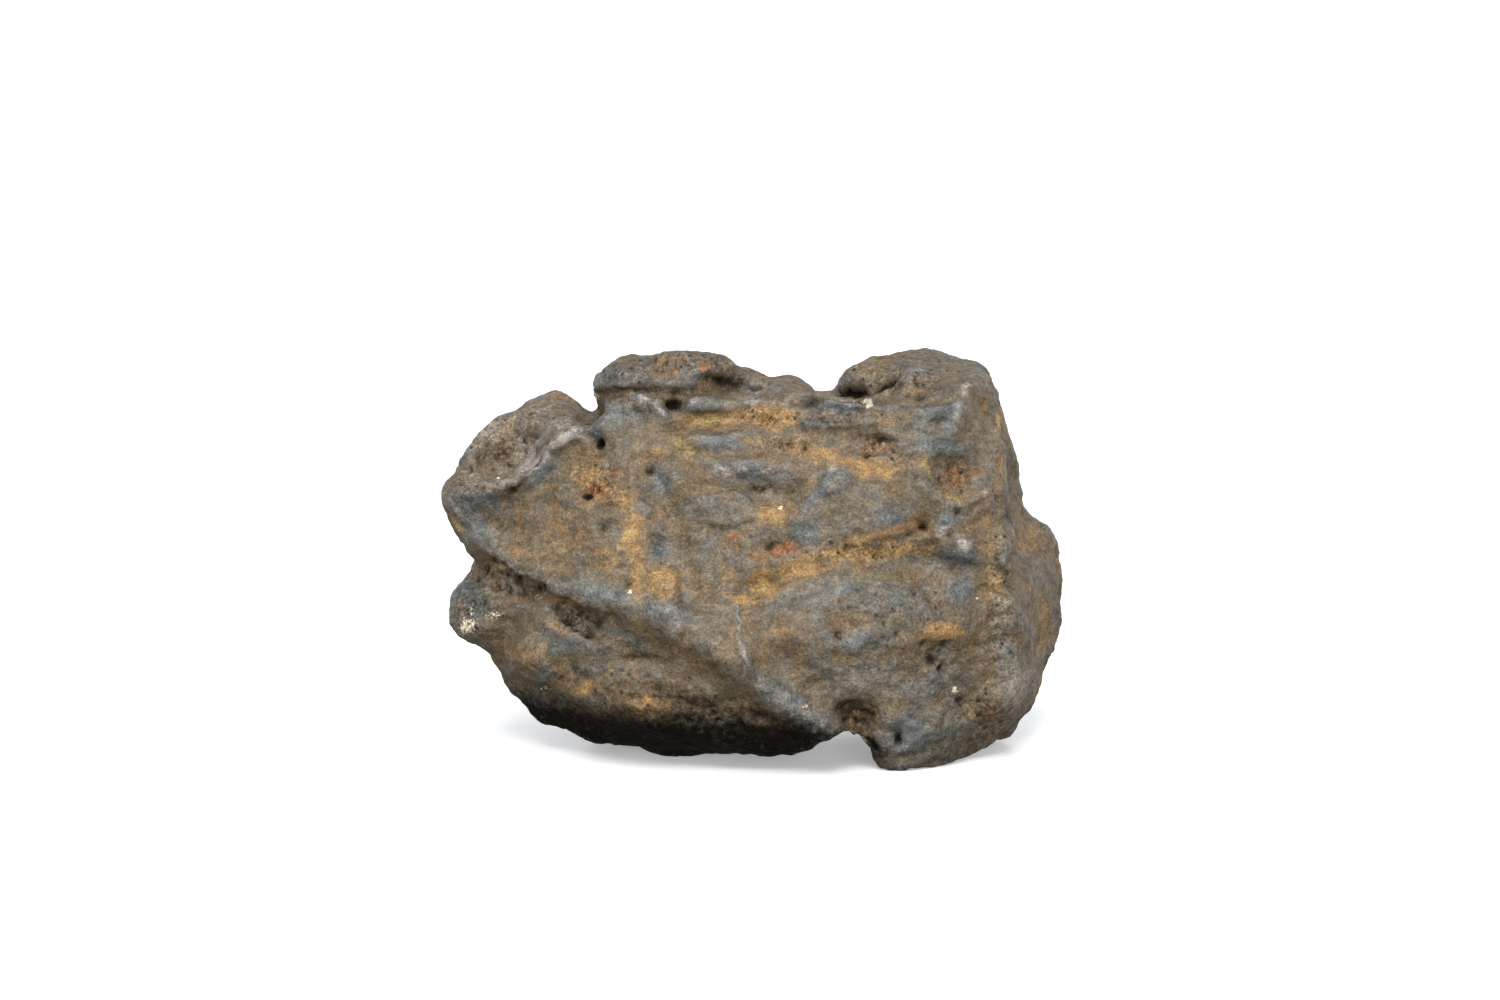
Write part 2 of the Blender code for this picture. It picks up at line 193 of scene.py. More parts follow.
# %% [markdown]
# ## Marks placed by pixel
# Three kinds of mark serve for relief and for colour alike. A stroke is a line through a few pixels with
# a soft edge, a ledge is a line that lifts the skin on its upper side and sinks it on its lower side, and
# a spot is a soft ellipse. Each returns one number for each point of the skin.

# %% Make strokes, ledges and spots
LEDGE_FADE_ABOVE = 2.2  # in half widths
LEDGE_FADE_BELOW = 1.2
LEDGE_STEP = 0.4  # how wide the step itself is, in half widths


def gap_to(path):
    """Gives each point's distance in pixels from a path, and the same below zero where it lies below it."""
    nearest = np.full(count, np.inf)
    signed = np.zeros(count)
    for start, end in zip(path, path[1:]):
        step = np.subtract(end, start).astype(float)
        along = np.clip((pixel - start) @ step / (step @ step), 0, 1)
        away = pixel - start - along[:, None] * step
        gap = np.linalg.norm(away, axis=1)
        side = np.sign(step[1] * (pixel[:, 0] - start[0]) - step[0] * (pixel[:, 1] - start[1]))
        signed = np.where(gap < nearest, side * gap, signed)
        nearest = np.minimum(nearest, gap)
    return nearest, signed


def stroke(path, half_width):
    return np.exp(-((gap_to(path)[0] / half_width) ** 2)) * share


def ledge(path, half_width):
    """Steps from -1 below a path that is drawn from left to right to +1 above it, then fades out."""
    nearest, signed = gap_to(path)
    fade = np.where(signed > 0, LEDGE_FADE_ABOVE, LEDGE_FADE_BELOW) * half_width
    return np.tanh(signed / (LEDGE_STEP * half_width)) * np.exp(-((nearest / fade) ** 2)) * share


def spot(x, y, half_width, half_height, turn=0, reach=None):
    """turn is in degrees, clockwise in the picture. reach says which points may be marked."""
    angle = math.radians(turn)
    across = (pixel[:, 0] - x) * math.cos(angle) + (pixel[:, 1] - y) * math.sin(angle)
    down = (pixel[:, 1] - y) * math.cos(angle) - (pixel[:, 0] - x) * math.sin(angle)
    mark = np.exp(-((across / half_width) ** 2 + (down / half_height) ** 2))
    return mark * (share if reach is None else reach)


print("a spot of 10 pixels covers", int((spot(750, 560, 10, 10) > 0.5).sum()), "points")

# %% [markdown]
# ## Lumps and dishes
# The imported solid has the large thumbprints. The next size down, lumps and dishes of one to three
# millimetres, is pressed in here one by one, as a sculptor would with a ball tool. Noise could make
# lumps as well, but not these lumps in these places.

# %% Press the lumps and dishes
LUMPS = [  # pixel, half width, half height, turn, height in mm
    (626, 375, 26, 11, 0, 0.3), (700, 361, 42, 10, 5, 0.3), (726, 383, 36, 11, 6, -0.5),
    (748, 388, 16, 10, 20, -0.35), (735, 399, 18, 5, 5, 0.05), (697, 402, 11, 9, 0, 0.22),
    (641, 398, 12, 6, 20, 0.25), (661, 412, 5, 9, -30, 0.25), (674, 400, 9, 9, 0, -0.2),
    (523, 456, 13, 19, 15, -0.4), (545, 446, 12, 4, -45, -0.2), (475, 478, 22, 12, -40, 0.15),
    (480, 520, 24, 22, 40, -0.15), (555, 398, 18, 8, 0, 0.2), (661, 482, 7, 16, -20, -0.22),
    (723, 509, 24, 15, 0, 0.1), (722, 440, 26, 9, 0, 0.08), (765, 416, 30, 8, 5, -0.12),
    (845, 434, 34, 10, 0, -0.15), (882, 448, 20, 8, 10, -0.2), (943, 414, 17, 9, -35, -0.3),
    (962, 440, 12, 22, 0, 0.12), (955, 478, 17, 14, 0, -0.15), (838, 478, 18, 9, -40, 0.25),
    (805, 532, 13, 12, 0, -0.25), (775, 516, 20, 11, 0, 0.12), (783, 548, 18, 7, 0, -0.2),
    (765, 583, 14, 13, -35, -0.3), (665, 582, 15, 14, 0, 0.15), (664, 552, 7, 14, -25, -0.2),
    (682, 588, 6, 20, -10, -0.22), (950, 528, 18, 15, 0, 0.3), (964, 545, 9, 7, 0, 0.15),
    (928, 576, 24, 14, 0, 0.18), (960, 592, 12, 14, 0, 0.12), (890, 516, 20, 13, 0, 0.12),
    (858, 630, 75, 45, 0, 0.3), (830, 690, 50, 16, 10, -0.15), (905, 672, 30, 16, 0, -0.12),
    (942, 633, 18, 8, 0, 0.2), (934, 654, 13, 12, 0, -0.08), (858, 722, 20, 14, 20, -0.35),
    (870, 742, 12, 12, 40, -0.3), (855, 718, 6, 5, 0, 0.2), (846, 708, 10, 6, -30, -0.2),
    (899, 738, 5, 9, 0, -0.45), (912, 700, 18, 12, 0, 0.12), (528, 655, 15, 14, 0, 0.16),
    (590, 688, 14, 9, 0, 0.1), (650, 705, 20, 14, 0, 0.14), (541, 675, 11, 4, -25, 0.15),
    (545, 688, 7, 5, 0, -0.2), (467, 605, 16, 18, 0, 0.2), (493, 579, 19, 9, 30, -0.1),
    (573, 619, 26, 9, 35, -0.08), (786, 689, 8, 3, 10, -0.25), (990, 700, 12, 12, 0, 0.15),
    (1000, 722, 12, 8, 0, 0.15), (870, 374, 30, 8, -10, 0.2), (852, 394, 17, 5, 5, -0.32),
    (884, 387, 16, 4, -25, -0.22), (918, 389, 14, 7, -15, -0.25),
]
RIM_LUMPS = [  # the same, on the stone's upper outline, where the skin faces the sky
    (675, 350, 40, 14, 0, 0.14), (776, 366, 26, 12, 10, -0.32), (856, 368, 20, 14, -25, 0.3),
    (484, 430, 34, 18, -40, 0.48),
]
FULL_SKY = 0.4  # a point whose normal points up by this much or more belongs to the rim in full

skyward = np.clip(skin_normals()[:, 2] / FULL_SKY, 0, 1)
raise_skin(sum(height * spot(x, y, wide, high, turn) for x, y, wide, high, turn, height in LUMPS))
raise_skin(sum(height * spot(x, y, wide, high, turn, skyward)
               for x, y, wide, high, turn, height in RIM_LUMPS))
print(len(LUMPS) + len(RIM_LUMPS), "lumps and dishes")

# %% [markdown]
# ## Crests, ledges and creases
# The melt left crests where two dishes meet, and rust opened creases under them. These lines are too
# fine for the imported solid. Each line has the pixels it runs through, its half width in pixels and its
# height in mm, which is below zero for a crease. The lines that come back later, as rubbed metal with a
# painted highlight, get a name first.

# %% Name the main lines
LOWER_RIDGE = [
    (450, 497), (460, 509), (474, 527), (484, 545), (507, 566), (523, 577), (545, 588), (575, 597),
    (607, 605), (650, 618), (690, 640), (728, 659), (743, 678), (765, 689), (786, 705), (809, 720),
    (830, 733),
]
SHOULDER_RIDGE = [
    (577, 433), (563, 440), (550, 450), (537, 463), (526, 471), (515, 483), (505, 491), (487, 490),
    (463, 490),
]
SECOND_FOLD = [(540, 441), (532, 447), (527, 460), (520, 473)]
LIP_EDGE = [(605, 391), (628, 388), (657, 388), (680, 391), (697, 388)]
HORN_CREST = [(975, 372), (968, 388), (966, 395), (958, 408), (953, 422), (948, 434)]
RIGHT_EDGE = [
    (978, 378), (988, 395), (990, 412), (996, 433), (997, 453), (987, 473), (984, 490), (990, 510),
    (1000, 540), (1006, 575), (1012, 610), (1015, 645), (1016, 680), (1012, 705),
]
SADDLE_LIP = [
    (790, 397), (815, 399), (840, 403), (857, 403), (873, 401), (883, 397), (893, 388), (900, 382),
    (913, 377),
]
BLUE_LEDGE = [(718, 468), (735, 470), (755, 472), (770, 473), (790, 480)]
V_RIDGE = [(920, 484), (930, 493), (943, 502), (957, 508), (970, 505), (984, 497)]
BOSS_EDGE = [(738, 606), (738, 640), (743, 655), (752, 672)]
BLUE_CREST = [(853, 466), (833, 473), (822, 488), (808, 500), (797, 505)]
print("the lower ridge runs through", len(LOWER_RIDGE), "pixels")

# %% Sculpt the lines
CRESTS = [
    (LOWER_RIDGE, 12, 0.08), (LOWER_RIDGE[9:], 20, 0.14), (SHOULDER_RIDGE[:6], 8, 0.24),
    (SHOULDER_RIDGE[5:], 9, 0.08), (SECOND_FOLD, 5, 0.16), (HORN_CREST, 10, 0.1),
    (RIGHT_EDGE, 6, 0.14), (SADDLE_LIP, 3.5, 0.22), (V_RIDGE, 6, 0.14), (BOSS_EDGE, 4, 0.16),
    (BLUE_CREST, 10, 0.07), ([(690, 500), (712, 496), (735, 494), (745, 499)], 4, 0.1),
    ([(548, 612), (563, 621), (578, 630), (590, 640)], 4, 0.18),
    ([(727, 572), (733, 590), (738, 606)], 4, 0.12),
    ([(775, 560), (800, 556), (830, 553), (870, 556), (920, 560)], 7, 0.1),
    ([(1020, 640), (1030, 600), (1032, 560)], 9, 0.12),
]
LEDGES = [
    (LIP_EDGE, 6, 0.26), (BLUE_LEDGE, 10, 0.08), ([(700, 450), (720, 452), (742, 450)], 6, 0.05),
    ([(673, 424), (688, 418), (697, 413), (720, 412)], 5, 0.2),
    ([(577, 445), (560, 455), (546, 466), (530, 480)], 7, 0.13),
    ([(460, 497), (485, 498), (505, 500)], 6, 0.07),
    ([(808, 404), (823, 407), (848, 409), (880, 411)], 5, 0.14),
    ([(790, 426), (815, 428), (850, 428), (868, 424)], 6, 0.1),
    ([(860, 437), (880, 436), (897, 440)], 5, 0.14), ([(935, 556), (950, 560), (968, 562)], 9, 0.12),
    ([(615, 660), (625, 656), (645, 655), (665, 658)], 6, 0.14),
    ([(742, 655), (743, 630), (750, 612), (765, 596),
      (790, 580), (830, 570), (880, 565), (930, 563)], 11, -0.16),
    ([(703, 523), (725, 528), (745, 522)], 7, 0.14), ([(907, 455), (925, 456), (945, 456)], 8, 0.12),
    ([(800, 600), (840, 590), (880, 588)], 10, 0.08), ([(600, 450), (620, 455), (640, 458)], 8, 0.08),
    ([(548, 500), (575, 508), (600, 505)], 8, 0.1),
]
CREASES = [
    ([(582, 432), (592, 438), (600, 445)], 2.5, -0.25), ([(521, 486), (515, 491), (509, 497)], 4, -0.3),
    ([(643, 496), (653, 504)], 2.5, -0.3), ([(667, 508), (667, 528)], 3, -0.15),
    ([(600, 623), (612, 616)], 2.5, -0.25), ([(488, 561), (507, 575), (519, 582), (523, 594)], 4, -0.22),
    ([(562, 608), (572, 620), (584, 631), (591, 638)], 4, -0.22), ([(485, 475), (493, 482)], 3, -0.25),
    ([(513, 435), (527, 436), (540, 441)], 3, -0.16),
    ([(842, 740), (856, 742), (866, 748), (878, 760)], 6, -0.3),
    ([(944, 716), (948, 719), (945, 723)], 2.5, -0.25), ([(663, 389), (683, 391)], 4, -0.12),
    ([(972, 508), (984, 500)], 4, -0.2), ([(596, 396), (600, 412), (594, 424)], 5, -0.2),
]
raise_skin(sum(height * stroke(path, half_width) for path, half_width, height in CRESTS + CREASES))
raise_skin(sum(height * ledge(path, half_width) for path, half_width, height in LEDGES))
print(len(CRESTS), "crests,", len(LEDGES), "ledges and", len(CREASES), "creases")

# %% [markdown]
# ## Pits
# Gas bubbles and rusted-out grains left pits of up to half a millimetre. They are round hollows in the
# real crust, so they are mesh here, not only dark dots. The large ones are placed where the photograph
# shows them.

# %% Sink the placed pits
PITS = [  # pixel, radius in pixels, depth in mm
    (600, 444, 4.5, 0.45), (586, 496, 4, 0.4), (598, 489, 3, 0.25), (591, 488, 2.5, 0.2),
    (612, 475, 3.5, 0.3), (504, 449, 4, 0.35), (477, 458, 4, 0.3), (602, 527, 4, 0.35),
    (627, 583, 5, 0.35), (615, 593, 3, 0.2), (674, 403, 5, 0.55), (632, 368, 3, 0.25),
    (742, 417, 3, 0.3), (775, 447, 3, 0.25), (766, 421, 3, 0.22), (674, 504, 3, 0.25),
    (868, 453, 4, 0.3), (878, 440, 4, 0.25), (919, 395, 4, 0.4), (918, 382, 3, 0.25),
    (907, 392, 3, 0.25), (838, 393, 4, 0.3), (847, 391, 4.5, 0.35), (857, 396, 4, 0.3),
    (889, 386, 4, 0.3), (923, 527, 5, 0.45), (910, 535, 3, 0.25), (847, 547, 4, 0.35),
    (876, 540, 3, 0.22), (844, 573, 3.5, 0.25), (862, 603, 3.5, 0.25), (915, 593, 3, 0.2),
    (896, 633, 4, 0.25), (838, 637, 4, 0.25), (948, 536, 4, 0.35), (958, 513, 5, 0.35),
    (943, 645, 4, 0.35), (923, 643, 4, 0.3), (932, 660, 4.5, 0.35), (942, 670, 4.5, 0.35),
    (961, 701, 4, 0.3), (912, 718, 3.5, 0.3), (980, 716, 3.5, 0.25), (740, 725, 4, 0.3),
    (492, 562, 4, 0.35), (507, 576, 4, 0.25), (518, 582, 4, 0.25), (500, 566, 3, 0.2),
    (485, 571, 3, 0.2), (497, 587, 3, 0.2), (510, 592, 3, 0.2), (477, 579, 3, 0.3),
    (541, 589, 4, 0.45), (568, 618, 4, 0.25), (587, 633, 4.5, 0.3), (556, 607, 3, 0.2),
    (578, 610, 3, 0.2), (597, 625, 3, 0.2), (575, 628, 3, 0.2), (770, 546, 3.5, 0.25),
    (760, 557, 3, 0.2), (650, 472, 4, 0.3), (823, 424, 4, 0.25), (812, 404, 3, 0.2),
    (745, 410, 2.4, 0.2), (753, 416, 2.8, 0.25), (764, 412, 2.2, 0.2), (771, 418, 2.8, 0.25),
    (779, 411, 2.4, 0.2), (788, 417, 2.8, 0.25), (760, 424, 2.2, 0.2), (749, 421, 2.2, 0.2),
    (796, 412, 2.4, 0.2), (781, 441, 2.6, 0.22), (790, 446, 2.2, 0.2), (799, 441, 2.6, 0.22),
    (804, 449, 2.2, 0.2), (873, 445, 2.6, 0.22), (887, 441, 2.4, 0.2), (893, 448, 2.6, 0.22),
    (470, 470, 2.6, 0.25), (486, 446, 2.4, 0.22), (499, 437, 2.6, 0.25), (513, 430, 2.2, 0.2),
    (509, 461, 2.6, 0.25), (521, 440, 2.2, 0.2), (534, 428, 2.6, 0.25), (493, 468, 2.2, 0.2),
    (546, 416, 2.4, 0.22), (462, 484, 2.4, 0.22), (575, 487, 2.4, 0.2), (582, 503, 2.6, 0.22),
    (607, 484, 2.2, 0.2), (618, 488, 2.4, 0.2), (656, 362, 2.4, 0.22), (670, 358, 2.2, 0.2),
    (686, 363, 2.6, 0.25), (703, 358, 2.2, 0.2), (718, 364, 2.6, 0.22), (613, 367, 2.2, 0.2),
    (623, 362, 2.4, 0.22), (899, 373, 2.4, 0.22), (930, 373, 2.6, 0.22), (948, 369, 2.2, 0.2),
]
raise_skin(sum(-deep * spot(x, y, radius, radius) for x, y, radius, deep in PITS))
print(len(PITS), "pits placed")

# %% [markdown]
# ## Pores
# Between the pits the crust is full of smaller pores. Nobody would place these by hand, so a seeded
# random draw scatters them: along the rims on the front, where the photograph is peppered, and evenly
# over the sides that it hides, so that every side is the same crust. The seed keeps each run the same.

# %% Scatter the pores
PORE_SEED = 5
PORE_ZONES = [  # pixel, half width, half height, how many
    (495, 440, 34, 34, 90), (530, 415, 40, 14, 45), (465, 480, 16, 26, 35), (700, 364, 60, 12, 60),
    (630, 372, 30, 12, 25), (900, 375, 60, 16, 45), (770, 416, 30, 12, 50), (780, 442, 30, 12, 25),
    (835, 415, 40, 10, 30), (880, 448, 24, 12, 30), (600, 480, 28, 22, 40), (500, 578, 28, 16, 50),
    (575, 618, 30, 14, 55), (475, 610, 24, 20, 30), (955, 475, 20, 16, 20), (860, 550, 80, 14, 25),
    (935, 655, 20, 16, 25), (900, 620, 80, 50, 45), (690, 555, 90, 50, 40), (600, 690, 110, 30, 45),
    (690, 715, 60, 20, 30), (980, 710, 34, 24, 45), (862, 718, 16, 16, 20), (1000, 600, 14, 90, 40),
]
HIDDEN_PORES = 900
PORE_RADIUS = (0.12, 0.34)  # mm
PORE_DEPTH = (0.06, 0.2)  # mm
PORE_REACH = 2.5  # a pore is carved out to this many radii
ZONE_TIGHTNESS = 1.6  # how closely the draw keeps to its zone
UNSEEN_PENALTY = 50  # pixels added for a point that the camera hardly sees, so that it isn't picked

rng = random.Random(PORE_SEED)
here = skin_points()
bed = np.zeros(count)


def sink_pore(middle):
    """Carves one round pore at a point of the skin into the bed of heights."""
    radius = rng.uniform(*PORE_RADIUS)
    reach = np.abs(here - here[middle]).max(axis=1) < radius * PORE_REACH
    gap = np.linalg.norm(here[reach] - here[middle], axis=1) / radius
    bed[reach] = np.minimum(bed[reach], -rng.uniform(*PORE_DEPTH) * np.exp(-gap**2))


for x, y, half_width, half_height, many in PORE_ZONES:
    for _ in range(many):
        target = (rng.gauss(x, half_width / ZONE_TIGHTNESS), rng.gauss(y, half_height / ZONE_TIGHTNESS))
        gap = np.abs(pixel - target).sum(axis=1) + UNSEEN_PENALTY * (share < 0.3)
        sink_pore(int(np.argmin(gap)))
hidden = np.flatnonzero(share < 0.4)
for _ in range(HIDDEN_PORES):
    sink_pore(hidden[rng.randrange(len(hidden))])
raise_skin(bed)
print(sum(zone[-1] for zone in PORE_ZONES) + HIDDEN_PORES, "pores scattered")

# %% [markdown]
# ## Rippled melt and sandy grit
# Melted iron froze in low ripples, mostly along the stone. Fractal noise makes them. The place that the
# noise is read at is squeezed along X, so that the ripples come out longer than they are high. Where the
# crust is pitted it is sandy too, so a weight for grit adds a coarse grain there and keeps the rest
# smooth. The sides that the photograph hides get a wavier melt, which leaves the feet as they are.

# %% Ripple the skin
RIPPLE = (0.17, 1.9, 0.9, 3)  # height and size in mm, how fast the finer waves weaken, octaves
GRAIN = (0.06, 0.6, 0.8, 2)
GRIT = (0.11, 0.42, 0.7, 2)
HIDDEN_SWELL = (0.32, 3.2, 0.8, 2)
GRIT_PATCHES = (2.2, 4.5, 0.9, 2)  # a weight in place of the height
OCTAVE_STEP = 2.0  # each octave is this much finer than the one before
FOOT_BAND = 2.0  # the swell comes in over this height in mm above the ground
STRETCH = Vector((0.6, 1.0, 1.15))
GRIT_CROWDING = 35  # how soon crowded pores make a zone sandy all over
LEAST_GRIT = 0.02


def wave(place, kind):
    """Gives the height of one kind of wave at a place in mm."""
    height, size, weakening, octaves = kind
    return height * noise.fractal(place / size, weakening, OCTAVE_STEP, octaves)


grit = np.zeros(count)
for x, y, half_width, half_height, many in PORE_ZONES:
    crowding = min(1.0, GRIT_CROWDING * many / (half_width * half_height))
    grit = np.maximum(grit, crowding * spot(x, y, half_width, half_height))

here = skin_points()
heights = np.empty(count)
for index in range(count):
    place = Vector(here[index])
    away = 1 - share[index]
    grit[index] = max(grit[index], away * min(1, max(0, wave(place, GRIT_PATCHES))))
    heights[index] = wave(place * STRETCH, RIPPLE) + wave(place, GRAIN)
    heights[index] += away * min(1.0, place.z / FOOT_BAND) * wave(place, HIDDEN_SWELL)
    if grit[index] > LEAST_GRIT:
        heights[index] += grit[index] * wave(place, GRIT)
raise_skin(heights)
print("ripples between", round(float(heights.min()), 2), "and", round(float(heights.max()), 2), "mm")

# %% [markdown]
# ## Ridges and hollows, measured
# Handling polishes what stands out, rust stays in what lies deep, and shade falls there too. The
# difference between the skin and a smoothed copy of it tells both: above zero on a ridge, below zero in
# a hollow. Blender's pointiness says something like it, but only in the render, where nothing else can use
# it.

# %% Measure the relief
FINE_ROUNDS = 10
BROAD_ROUNDS = 120
FINE_RIDGE = 0.05  # mm above the smoothed skin that count as a full ridge
FINE_HOLLOW = 0.06
BROAD_FULL = 0.4
here = skin_points()
normals = skin_normals()


def relief(rounds):
    smooth = np.stack([spread(here[:, axis], rounds) for axis in range(3)], axis=1)
    return ((here - smooth) * normals).sum(axis=1)


fine = relief(FINE_ROUNDS)
broad = relief(BROAD_ROUNDS)
ridge = (np.clip(fine / FINE_RIDGE, 0, 1) + np.clip(broad / BROAD_FULL, 0, 1)) / 2
hollow = (np.clip(-fine / FINE_HOLLOW, 0, 1) + np.clip(-broad / BROAD_FULL, 0, 1)) / 2
for title, measured in (("fine relief", fine), ("broad relief", broad)):
    print(title, "in mm, from the 5th to the 95th percentile:", np.round(np.percentile(measured, [5, 95]), 3))

# %% [markdown]
# ## Layers of the crust
# The crust is a stack of layers over brown-grey oxide. Each layer has a weight at each point of the
# skin, stored as an attribute that the material reads. On the front the weights are soft spots laid
# where the photograph shows the layer. A painted picture could carry them too, but it would
# have seams and a fixed sharpness, and a weight at a point has neither.
#
# First the blue-grey film, a thin hard oxide that sits on the facets and crests and shines a little.

# %% Lay the blue-grey film
FRONT = {}  # for each layer: pixel, half width, half height, turn, weight
FRONT["film"] = [
    (722, 441, 24, 9, 0, 1.0), (620, 413, 34, 16, 0, 0.8), (596, 424, 10, 14, 0, 0.8),
    (760, 477, 32, 8, 4, 1.0), (745, 468, 30, 4, 3, 0.9), (835, 480, 22, 12, -45, 1.0),
    (812, 500, 18, 8, -40, 0.9), (806, 532, 15, 13, 0, 1.0), (930, 445, 36, 9, 0, 0.9),
    (925, 420, 22, 12, -40, 0.8), (943, 414, 16, 10, -35, 1.0), (815, 425, 24, 7, 0, 0.9),
    (835, 408, 34, 5, 4, 0.8), (545, 472, 20, 10, -35, 0.95), (480, 503, 34, 10, 5, 0.9),
    (478, 525, 24, 18, 40, 0.8), (545, 530, 16, 14, 0, 0.3), (660, 480, 9, 18, -20, 1.0),
    (640, 508, 12, 8, 0, 0.6), (722, 509, 28, 15, 0, 0.55), (662, 552, 10, 16, -25, 0.9),
    (682, 590, 8, 22, -8, 0.9), (710, 545, 12, 10, 0, 0.5), (600, 590, 50, 10, 12, 0.75),
    (660, 610, 44, 9, 15, 0.7), (770, 597, 14, 12, -30, 0.8), (738, 622, 4, 18, 0, 0.7),
    (825, 595, 40, 16, -8, 0.6), (890, 600, 50, 18, 0, 0.6), (860, 640, 30, 14, 0, 0.5),
    (890, 516, 18, 13, 0, 0.8), (955, 560, 26, 12, 0, 0.9), (960, 590, 16, 18, 0, 0.8),
    (945, 520, 16, 8, 0, 0.7), (860, 672, 60, 12, 0, 0.5), (790, 700, 44, 12, 38, 0.8),
    (930, 690, 40, 14, 0, 0.6), (910, 735, 26, 26, 0, 0.9), (960, 730, 34, 12, 0, 0.6),
    (565, 645, 40, 8, 10, 0.7), (620, 635, 30, 10, 20, 0.5), (545, 676, 12, 5, -25, 1.0),
    (600, 665, 24, 8, 0, 0.5), (540, 700, 14, 10, 40, 0.5), (470, 595, 22, 18, 0, 0.8),
    (478, 608, 20, 16, 0, 0.6), (455, 503, 6, 10, -35, 0.8), (690, 377, 30, 5, 0, 0.4),
    (752, 386, 9, 9, 0, 0.9), (610, 380, 12, 10, 0, 0.5), (530, 418, 24, 6, -15, 0.35),
    (1040, 590, 8, 30, 0, 0.4), (640, 398, 14, 6, 20, 0.8), (693, 402, 10, 6, 0, 0.7),
    (665, 412, 6, 8, 0, 0.6), (1003, 660, 8, 30, 0, 0.5), (920, 372, 20, 5, -10, 0.5),
]
print(len(FRONT["film"]), "spots of film")

# %% [markdown]
# ## Ochre and dust
# Ochre is loose iron rust that water washed into the hollows and along the creases. Dust is the pale grey
# crust of fine sand on the shoulder and the lower right.

# %% Lay the ochre and the dust
FRONT["ochre"] = [
    (715, 419, 30, 7, -4, 1.15), (772, 416, 28, 11, 5, 1.15), (755, 440, 20, 6, 10, 0.5),
    (790, 447, 24, 6, 8, 0.6), (866, 466, 32, 9, 8, 1.1), (820, 454, 34, 8, 8, 0.75),
    (893, 418, 18, 6, -10, 0.5), (592, 482, 20, 22, 0, 0.74), (625, 500, 12, 14, 0, 0.7),
    (632, 535, 9, 24, 4, 1.2), (637, 575, 7, 28, 0, 0.85), (610, 560, 20, 20, 0, 0.45),
    (560, 530, 28, 26, 0, 0.4), (663, 582, 17, 15, 0, 1.15), (775, 516, 20, 11, 0, 0.85),
    (764, 584, 14, 16, -30, 1.25), (745, 600, 16, 5, 5, 1.0), (728, 575, 7, 4, 0, 0.9),
    (800, 568, 28, 12, -5, 0.9), (850, 555, 46, 7, -2, 1.05), (900, 548, 30, 7, 0, 0.75),
    (700, 590, 20, 10, 0, 0.3), (835, 600, 22, 4, 0, 0.3), (785, 632, 14, 5, 0, 0.6),
    (455, 522, 6, 18, -35, 0.6), (495, 568, 16, 5, 30, 0.5), (515, 553, 10, 6, 0, 0.5),
    (560, 600, 22, 6, 12, 0.5), (553, 626, 14, 4, 15, 0.6), (530, 655, 22, 18, 0, 0.55),
    (587, 688, 12, 7, 0, 1.0), (650, 705, 24, 16, 0, 0.8), (610, 672, 20, 8, 0, 0.35),
    (700, 700, 20, 12, 30, 0.4), (745, 700, 20, 10, 35, 0.4), (998, 425, 5, 16, 0, 0.8),
    (1000, 470, 6, 20, 0, 0.5), (995, 585, 14, 22, 0, 0.6), (990, 545, 14, 18, 0, 0.4),
    (1030, 540, 16, 20, 0, 0.5), (1040, 620, 14, 50, 0, 0.5), (560, 398, 22, 7, 0, 0.5),
    (500, 430, 30, 10, -35, 0.4), (675, 362, 24, 6, 0, 0.4), (870, 372, 24, 7, -10, 0.4),
    (945, 372, 20, 6, 0, 0.3), (812, 377, 8, 4, 0, 0.5), (720, 655, 16, 8, 30, 0.3),
    (855, 718, 6, 5, 0, 0.6), (478, 488, 16, 7, -10, 0.35), (660, 450, 40, 6, 0, 0.35),
    (942, 632, 20, 9, 0, 1.25), (1020, 688, 18, 26, 0, 0.5), (876, 536, 48, 6, -13, 0.7),
]
FRONT["dust"] = [
    (490, 430, 32, 20, -40, 0.55), (540, 412, 28, 14, 0, 0.4), (523, 455, 14, 18, 15, 0.55),
    (470, 478, 14, 12, -50, 0.45), (560, 425, 16, 10, 0, 0.5), (505, 482, 20, 6, -10, 0.6),
    (744, 390, 14, 9, 15, 0.5), (900, 362, 50, 6, 0, 0.2), (1020, 690, 22, 32, 0, 0.85),
    (513, 580, 18, 9, 30, 0.4), (470, 520, 14, 12, 40, 0.3), (1000, 620, 10, 44, 0, 0.4),
    (460, 512, 4, 12, -35, 0.6), (1030, 690, 10, 20, 30, 0.5), (790, 705, 38, 8, 38, 0.45),
    (870, 684, 60, 22, 0, 0.6), (840, 560, 40, 4, -3, 0.4), (690, 640, 30, 6, 30, 0.3),
    (575, 620, 24, 9, 38, 0.45),
]
print(len(FRONT["ochre"]), "spots of ochre and", len(FRONT["dust"]), "of dust")

# %% [markdown]
# ## Yellow and red rust
# Rust isn't one colour. The driest of it is yellow, and deep in the pitted hollows it is brick red. A
# few small spots of each keep the ochre from looking like paint.

